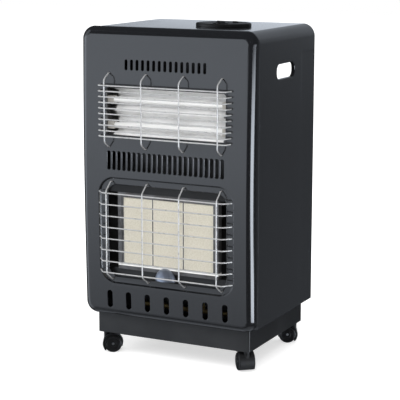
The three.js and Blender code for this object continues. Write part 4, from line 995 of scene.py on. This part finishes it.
guards = {
    "lower_guard": {
        "uprights": (-134, -44.7, 44.7, 134), "front": (200, 385), "feet": (182.5, 403),
        "reach": (146, 161.5), "rails": [202 + (380 - 202) * i / 7 for i in range(8)], "set_back": recess_depth,
    },
    "upper_guard": {
        "uprights": (-136, -45.3, 45.3, 136), "front": (492, 629), "feet": (480, 641),
        "reach": (152, 158), "rails": [505 + (615.5 - 505) * i / 9 for i in range(10)], "set_back": 0,
    },
}
foot_hole = 2.2 * mm
for guard in guards.values():
    for x in guard["uprights"]:
        for z in guard["feet"]:
            openings.append(cylinder(foot_hole, face - 6 * mm, face + 12 * mm, "y", (x * mm, 0, z * mm), 20))
fascia = shaped(thickened(fascia, sheet), ("UNION", joined(*hems)), ("DIFFERENCE", joined(*openings)))

bow_middle, bow_reach, bow_most = 418 * mm, 322 * mm, 8 * mm


def bow(z):
    """How far the fascia stands forward of its flat line at a height."""
    return bow_most * max(0, 1 - ((z - bow_middle) / bow_reach) ** 2)


bmesh.ops.triangulate(fascia, faces=fascia.faces)
row = fascia_low.z + 8 * mm
while row < fascia_high.z:
    sliced(fascia, (0, 0, row), (0, 0, 1))
    row += 10 * mm
for vertex in fascia.verts:
    share = min(1, max(0, (fascia_back - vertex.co.y) / (fascia_back - face)))
    vertex.co.y -= bow(vertex.co.z) * share
piece("fascia_panel", fascia, enamel, ["front_panel"])

# The wire guards. Each is 3 mm bright steel wire: four uprights whose ends hook back into holes in the fascia,
# and level rails welded across their inner side, whose ends curve back to the fascia.
def rounded_path(points, bend, steps=6):
    """The points of a line whose corners are rounded."""
    points = [Vector(point) for point in points]
    path = [points[0]]
    for before, corner, after in zip(points, points[1:], points[2:]):
        back = (before - corner).normalized()
        ahead = (after - corner).normalized()
        half_angle = back.angle(ahead) / 2
        room = 0.48 * min((before - corner).length, (after - corner).length)
        leg = min(bend / math.tan(half_angle), room)
        inward = (back + ahead).normalized()
        centre = corner + inward * leg * math.tan(half_angle) / math.sin(half_angle)
        start_arm = corner + back * leg - centre
        end_arm = corner + ahead * leg - centre
        sweep = start_arm.angle(end_arm)
        for i in range(steps + 1):
            from_start, from_end = (math.sin(share * sweep) for share in (i / steps, 1 - i / steps))
            path.append(centre + (from_end * start_arm + from_start * end_arm) / math.sin(sweep))
    path.append(points[-1])
    return path


def rod(points, radius, bend, resolution=3):
    """A round wire or pipe along rounded corners, with closed ends."""
    curve = bpy.data.curves.new("rod", "CURVE")
    curve.dimensions = "3D"
    curve.bevel_depth = radius
    curve.bevel_resolution = resolution
    curve.use_fill_caps = True
    path = rounded_path(points, bend)
    line = curve.splines.new("POLY")
    line.points.add(len(path) - 1)
    for point, at in zip(line.points, path):
        point.co = (*at, 1)
    made = finished_mesh(show(bpy.data.objects.new("rod", curve)))
    bpy.data.curves.remove(curve)
    bmesh.ops.remove_doubles(made, verts=made.verts, dist=1e-6)
    return made


wire_colour = (0.68, 0.68, 0.68, 1)
bright_wire, place = blank_material("bright_wire_finish")
dull_spots = noise(place, 120.0, 4.0).between(0.5, 0.75, 0.0, 1.0)
close_material(place, {
    "Base Color": tint(dull_spots, wire_colour, shade(wire_colour, 0.7)),
    "Metallic": 0.5,
    "Roughness": 0.38 + 0.15 * dull_spots,
    "Normal": bump(noise(place, 700.0), 0.02 * mm),
})

wire_radius = 1.5 * mm
upright_bend, rail_bend = 11 * mm, 7 * mm
front_y = face - 28 * mm
rail_y = face - 25.5 * mm
hook_out, hook_in = 3 * mm, 3.6 * mm
for name, guard in guards.items():
    wires = []
    foot_z, head_z = (z * mm for z in guard["feet"])
    low_z, high_z = (z * mm for z in guard["front"])
    foot_y, head_y = (face + guard["set_back"] - bow(z) for z in (foot_z, head_z))
    for x in guard["uprights"]:
        wires.append(rod([(x * mm, y, z) for y, z in (
            (foot_y + hook_in, foot_z), (foot_y - hook_out, foot_z), (front_y, low_z), (front_y, high_z),
            (head_y - hook_out, head_z), (head_y + hook_in, head_z),
        )], wire_radius, upright_bend))
    reach, end_reach = (x * mm for x in guard["reach"])
    for z in guard["rails"]:
        end_y = face - bow(z * mm) - 1.8 * mm
        wires.append(rod([(x, y, z * mm) for x, y in (
            (-end_reach, end_y), (-reach, rail_y), (reach, rail_y), (end_reach, end_y),
        )], wire_radius, rail_bend))
    piece(name.replace("_", "_wire_"), joined(*wires), bright_wire, [name], sharp=50)

# The gas line and the two inlets. An aluminium pipe runs from the valve down to the injector rail, a thinner
# one feeds the pilot, a brass nozzle takes the hose at the back, and a plastic gland holds the mains cord.
pipe_metal = turned_steel("aluminium_pipe_finish", (0.66, 0.67, 0.68, 1), 0.30)
valve_front = face + 125.7 * mm
low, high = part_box("gas_pipe")
pipe_radius = 4 * mm
valve_x = 68 * mm
drop_x, top_z, rail_z = high.x - pipe_radius, high.z - pipe_radius, low.z + pipe_radius
drop_y = face + 47 * mm
rail_front = face + 33 * mm
gas_line = [
    (valve_x, valve_front, top_z), (valve_x, drop_y, top_z), (drop_x, drop_y, top_z), (drop_x, drop_y, rail_z),
    (drop_x, rail_front, rail_z), (low.x, rail_front, rail_z),
]
pipe_bend = 7 * mm
piece("bent_gas_pipe", rod(gas_line, pipe_radius, pipe_bend, 6), pipe_metal, ["gas_pipe"], sharp=60)

low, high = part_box("pilot_pipe")
pilot_radius = 2 * mm
tap_x, pilot_x = 51 * mm, -13 * mm
drop_x, top_z, level_z = high.x - pilot_radius, high.z - pilot_radius, low.z + pilot_radius
drop_y = face + 52 * mm
level_y = face + 18 * mm
pilot_y = face + 9.4 * mm
pilot_z = 189.2 * mm
pilot_line = [
    (tap_x, valve_front, top_z), (tap_x, drop_y, top_z), (drop_x, drop_y, top_z), (drop_x, drop_y, level_z),
    (drop_x - 26 * mm, level_y, level_z), (pilot_x, level_y, level_z), (pilot_x, pilot_y, level_z),
    (pilot_x, pilot_y, pilot_z),
]
pilot_bend = 4 * mm
piece("bent_pilot_pipe", rod(pilot_line, pilot_radius, pilot_bend, 4), pipe_metal, ["pilot_pipe"], sharp=60)

inlet_low, inlet_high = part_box("gas_inlet")
inlet_centre = (60 * mm, inlet_low.y, (inlet_low.z + inlet_high.z) / 2)
hexagon_high = 10 * mm
nozzle_outline = [(0, 2.5), (0, 6), (10, 6), (10.3, 3.9)]
for i in range(4):
    barb = 18 + 6.8 * i
    nozzle_outline += [(barb - 4.6, 3.85), (barb - 4.0, 5.0), (barb, 3.85)]
nozzle_outline += [(39.6, 3.25), (40, 3.0), (40, 2.5), (0, 2.5)]
nozzle = spun(rings_from(0, nozzle_outline), "y", inlet_centre, 40)
hexagon = cylinder(8.4 * mm, inlet_low.y, inlet_low.y + hexagon_high, "y", inlet_centre, 6)
bevel_edges(hexagon, sharp_edges(hexagon, 80), 0.7 * mm, 2)
hexagon = shaped(hexagon, ("DIFFERENCE", cylinder(
    5.9 * mm, inlet_low.y - 5 * mm, inlet_low.y + hexagon_high + 5 * mm, "y", inlet_centre, 40)))
piece("hose_nozzle", joined(nozzle, hexagon), brass, ["gas_inlet"])

gland_low, gland_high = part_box("cable_gland")
gland_centre = ((gland_low.x + gland_high.x) / 2, gland_low.y, (gland_low.z + gland_high.z) / 2)
gland_outline = [(0, 3.5), (0, 7.0), (0.8, 7.8), (7.5, 7.8), (7.5, 12), (11.6, 12), (12.5, 11.4), (12.5, 7.8)]
for i in range(5):
    groove = 14.4 + 2.8 * i
    gland_outline += [(groove, 7.8), (groove + 0.5, 6.4), (groove + 1.3, 6.4), (groove + 1.8, 7.8)]
gland_outline += [(30.2, 7.8), (31.5, 6.6), (31.5, 3.5), (0, 3.5)]
gland = spun(rings_from(0, gland_outline), "y", gland_centre, 40)
piece("cord_gland", gland, matte_plastic, ["cable_gland"])

# The controls. A raised oval plate on the top carries the gas knob, which stands in a round well and has a grip
# bar, and behind it two rocker switches for the tubes.
plate_foot = bezel_low.z + 12 * mm
plate_top = plate_foot + 7 * mm
plate_under = plate_top - 2.5 * mm
plate_round = 3 * mm
edge_rings = [(plate_foot, 0)]
for rise, growth in quarter_round(5, plate_round, plate_round):
    edge_rings.append((plate_top - plate_round + rise, growth))
edge_rings += rings_from(plate_top, [(0, -7), (-0.5, -8), (-0.5, -20)])
plug_inset, hollow_inset = 6 * mm, 8.5 * mm
plug_rings = [(bezel_low.z, -plug_inset), (plate_foot + 1 * mm, -plug_inset)]
hollow_plate = [(bezel_low.z - 1 * mm, -hollow_inset), (plate_under, -hollow_inset)]
knob_low, knob_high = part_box("control_knob")
knob_centre = ((knob_low.x + knob_high.x) / 2, (knob_low.y + knob_high.y) / 2, 0)
well_floor = plate_top - 12.4 * mm
well_outer = cylinder(22.5 * mm, well_floor - 2.5 * mm, plate_under + 0.5 * mm, "z", knob_centre, 64)
well = spun(rings_from(plate_top, [
    (2, 0), (2, 21.2), (-0.4, 21.2), (-0.9, 20.36), (-1.7, 20), (-12.4, 20), (-12.4, 0),
]), "z", knob_centre, 64)
stem_hole = cylinder(4.8 * mm, well_floor - 5 * mm, well_floor + 1 * mm, "z", knob_centre, 32)
rocker_y = face + 182 * mm
rocker_holes = []
for name in ("left", "right"):
    rocker_middle = (joints[f"rocker_{name}_press"]["pos_m"][0], rocker_y)
    rings = [(plate_under - 2 * mm, 0), (plate_top + 2 * mm, 0)]
    rocker_holes.append(loft(rings, rocker_middle, (6.3 * mm, 8.8 * mm), 0.8 * mm, facing_up, steps=3))
plate = shaped(
    oval_rings(edge_rings), ("UNION", oval_rings(plug_rings)), ("DIFFERENCE", oval_rings(hollow_plate)))
plate = shaped(
    plate, ("UNION", well_outer), ("DIFFERENCE", well), ("DIFFERENCE", stem_hole),
    ("DIFFERENCE", joined(*rocker_holes)))
piece("control_plate", plate, black_plastic, ["control_bezel"])


def notches(count, ring_radius, radius, low, high, axis, centre):
    """Small rods round a circle, to cut a knurled or ribbed edge."""
    made = []
    for i in range(count):
        turn = i * 360 / count * degree
        u, v = ring_radius * math.cos(turn), ring_radius * math.sin(turn)
        at = Vector(centre) + (Vector((u, v, 0)) if axis == "z" else Vector((u, 0, v)))
        made.append(cylinder(radius, low, high, axis, at, 8))
    return joined(*made)


grip_top = knob_high.z
disc_top = grip_top - 7.4 * mm
disc_foot = disc_top - 5.2 * mm
disc = spun(rings_from(disc_foot, [
    (0, 0), (0, 17.2), (0.8, 18), (4.0, 18), (4.8, 17.6), (5.2, 16.8), (5.2, 0),
]), "z", knob_centre, 72)
ribs = notches(36, 18.2 * mm, 0.45 * mm, disc_foot - 1 * mm, disc_top - 1.5 * mm, "z", knob_centre)
grip_rings = [
    (disc_foot + 1 * mm, 0.8 * mm), (disc_top, 0.6 * mm),
    *rings_from(grip_top, [(-2, -0.1), (-0.9, -0.5), (-0.2, -1.2), (0, -2.2)]),
]
grip = loft(grip_rings, knob_centre[:2], (5.2 * mm, 15.6 * mm), 4 * mm, facing_up, steps=8)
pointer = block(
    (knob_centre[0] - 0.5 * mm, knob_centre[1] - 15 * mm, grip_top - 0.35 * mm),
    (knob_centre[0] + 0.5 * mm, knob_centre[1] - 4 * mm, grip_top + 1 * mm))
knob_stem = cylinder(4.5 * mm, knob_low.z, disc_foot + 1 * mm, "z", knob_centre, 32)
knob = shaped(disc, ("DIFFERENCE", ribs), ("UNION", grip), ("UNION", knob_stem), ("DIFFERENCE", pointer))
piece("gas_knob", knob, black_plastic, ["control_knob"], "knob")

for name in ("left", "right"):
    node = frame["nodes"]["rocker_" + name]
    cap = bmesh.new()
    cap.from_mesh(node.data)
    bmesh.ops.transform(cap, matrix=node.matrix_world, verts=cap.verts)
    bmesh.ops.remove_doubles(cap, verts=cap.verts, dist=1e-6)
    bmesh.ops.dissolve_limit(cap, angle_limit=1 * degree, verts=cap.verts, edges=cap.edges)
    bevel_edges(cap, sharp_edges(cap), 0.7 * mm)
    piece("rocker_cap_" + name, cap, black_plastic, ["rocker_" + name], f"{name}_rocker")

# The rear cover. A pressed sheet tray closes the bottle space: a flat flange, sloping sides with soft edges, two
# rows of upright slots, and two tongues that hook behind the base tray. Two knurled thumb screws hold it.
cover_low, cover_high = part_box("rear_cover")
cover_rear = cover_high.y
flange_back = face + 321.5 * mm
cover_side, cover_foot, cover_head = 203 * mm, 104 * mm, 600 * mm
cover_middle = (0, (cover_foot + cover_head) / 2)
cover_half = (cover_side, (cover_head - cover_foot) / 2)
edge_depth, edge_inwards = 10 * mm, 11 * mm
slope_head = -36.5 * mm
cover_rings = rings_from(flange_back, [(0, 0), (0, -20.5), (0.5, -22), (2.5, -23.5)])
for depth, growth in quarter_round(6, edge_depth, edge_inwards):
    cover_rings.append((cover_rear - edge_depth + depth, slope_head + growth))
cover = loft(cover_rings, cover_middle, cover_half, 10 * mm, facing_front, steps=8, caps=False, least=9 * mm)
bmesh.ops.holes_fill(cover, edges=[
    e for e in open_edges(cover) if all(v.co.y > cover_rear - 1 * mm for v in e.verts)])
outwards(cover)
rearmost = max(cover.faces, key=lambda f: f.calc_center_median().y)
if rearmost.normal.y < 0:
    bmesh.ops.reverse_faces(cover, faces=cover.faces)

tongue_x, tongue_half = 110 * mm, 15 * mm
web_head = 108 * mm
tongues = []
webs = []
for side in (-1, 1):
    near, far = side * tongue_x - tongue_half, side * tongue_x + tongue_half
    tongues.append(block(
        (near, cover_low.y, cover_low.z), (far, flange_back - 0.6 * mm, cover_low.z + sheet)))
    webs.append(block((near, flange_back - sheet, cover_low.z), (far, flange_back - 0.2 * mm, web_head)))
slot_pitch, slot_width, slot_height = 26 * mm, 7 * mm, 34 * mm
cover_holes = [
    slot_tool(i * slot_pitch, z, slot_width, slot_height, cover_rear, cover_rear - 10 * mm)
    for z in (166 * mm, 538 * mm) for i in range(-4, 5)
]
cover_holes += screw_holes(flange_back)
cover = shaped(
    thickened(cover, sheet), ("UNION", joined(*webs)), ("UNION", joined(*tongues)),
    ("DIFFERENCE", joined(*cover_holes)))
piece("pressed_cover", cover, enamel, ["rear_cover"], "rear_cover")

screw_outline = [
    (0, 0), (0, 7.9), (0.6, 8.5), (8.6, 8.5), (9.5, 8.1), (10, 7.1), (10, 5.6), (9.3, 5.0), (9.1, 0),
]
for name in ("left", "right"):
    low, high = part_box("cover_screw_" + name)
    centre = ((low.x + high.x) / 2, 0, (low.z + high.z) / 2)
    head_foot = high.y - 10 * mm
    head = spun(rings_from(head_foot, screw_outline), "y", centre, 72)
    knurls = notches(24, 8.75 * mm, 0.6 * mm, head_foot - 1 * mm, high.y + 1 * mm, "y", centre)
    shank = cylinder(2.5 * mm, low.y, head_foot + 1 * mm, "y", centre, 24)
    bevel_edges(shank, [e for e in sharp_edges(shank) if e.verts[0].co.y < low.y + 1e-5], 0.6 * mm, 2)
    screw = shaped(head, ("DIFFERENCE", knurls), ("UNION", shank))
    piece("thumb_screw_" + name, screw, black_plastic, ["cover_screw_" + name], "rear_cover")
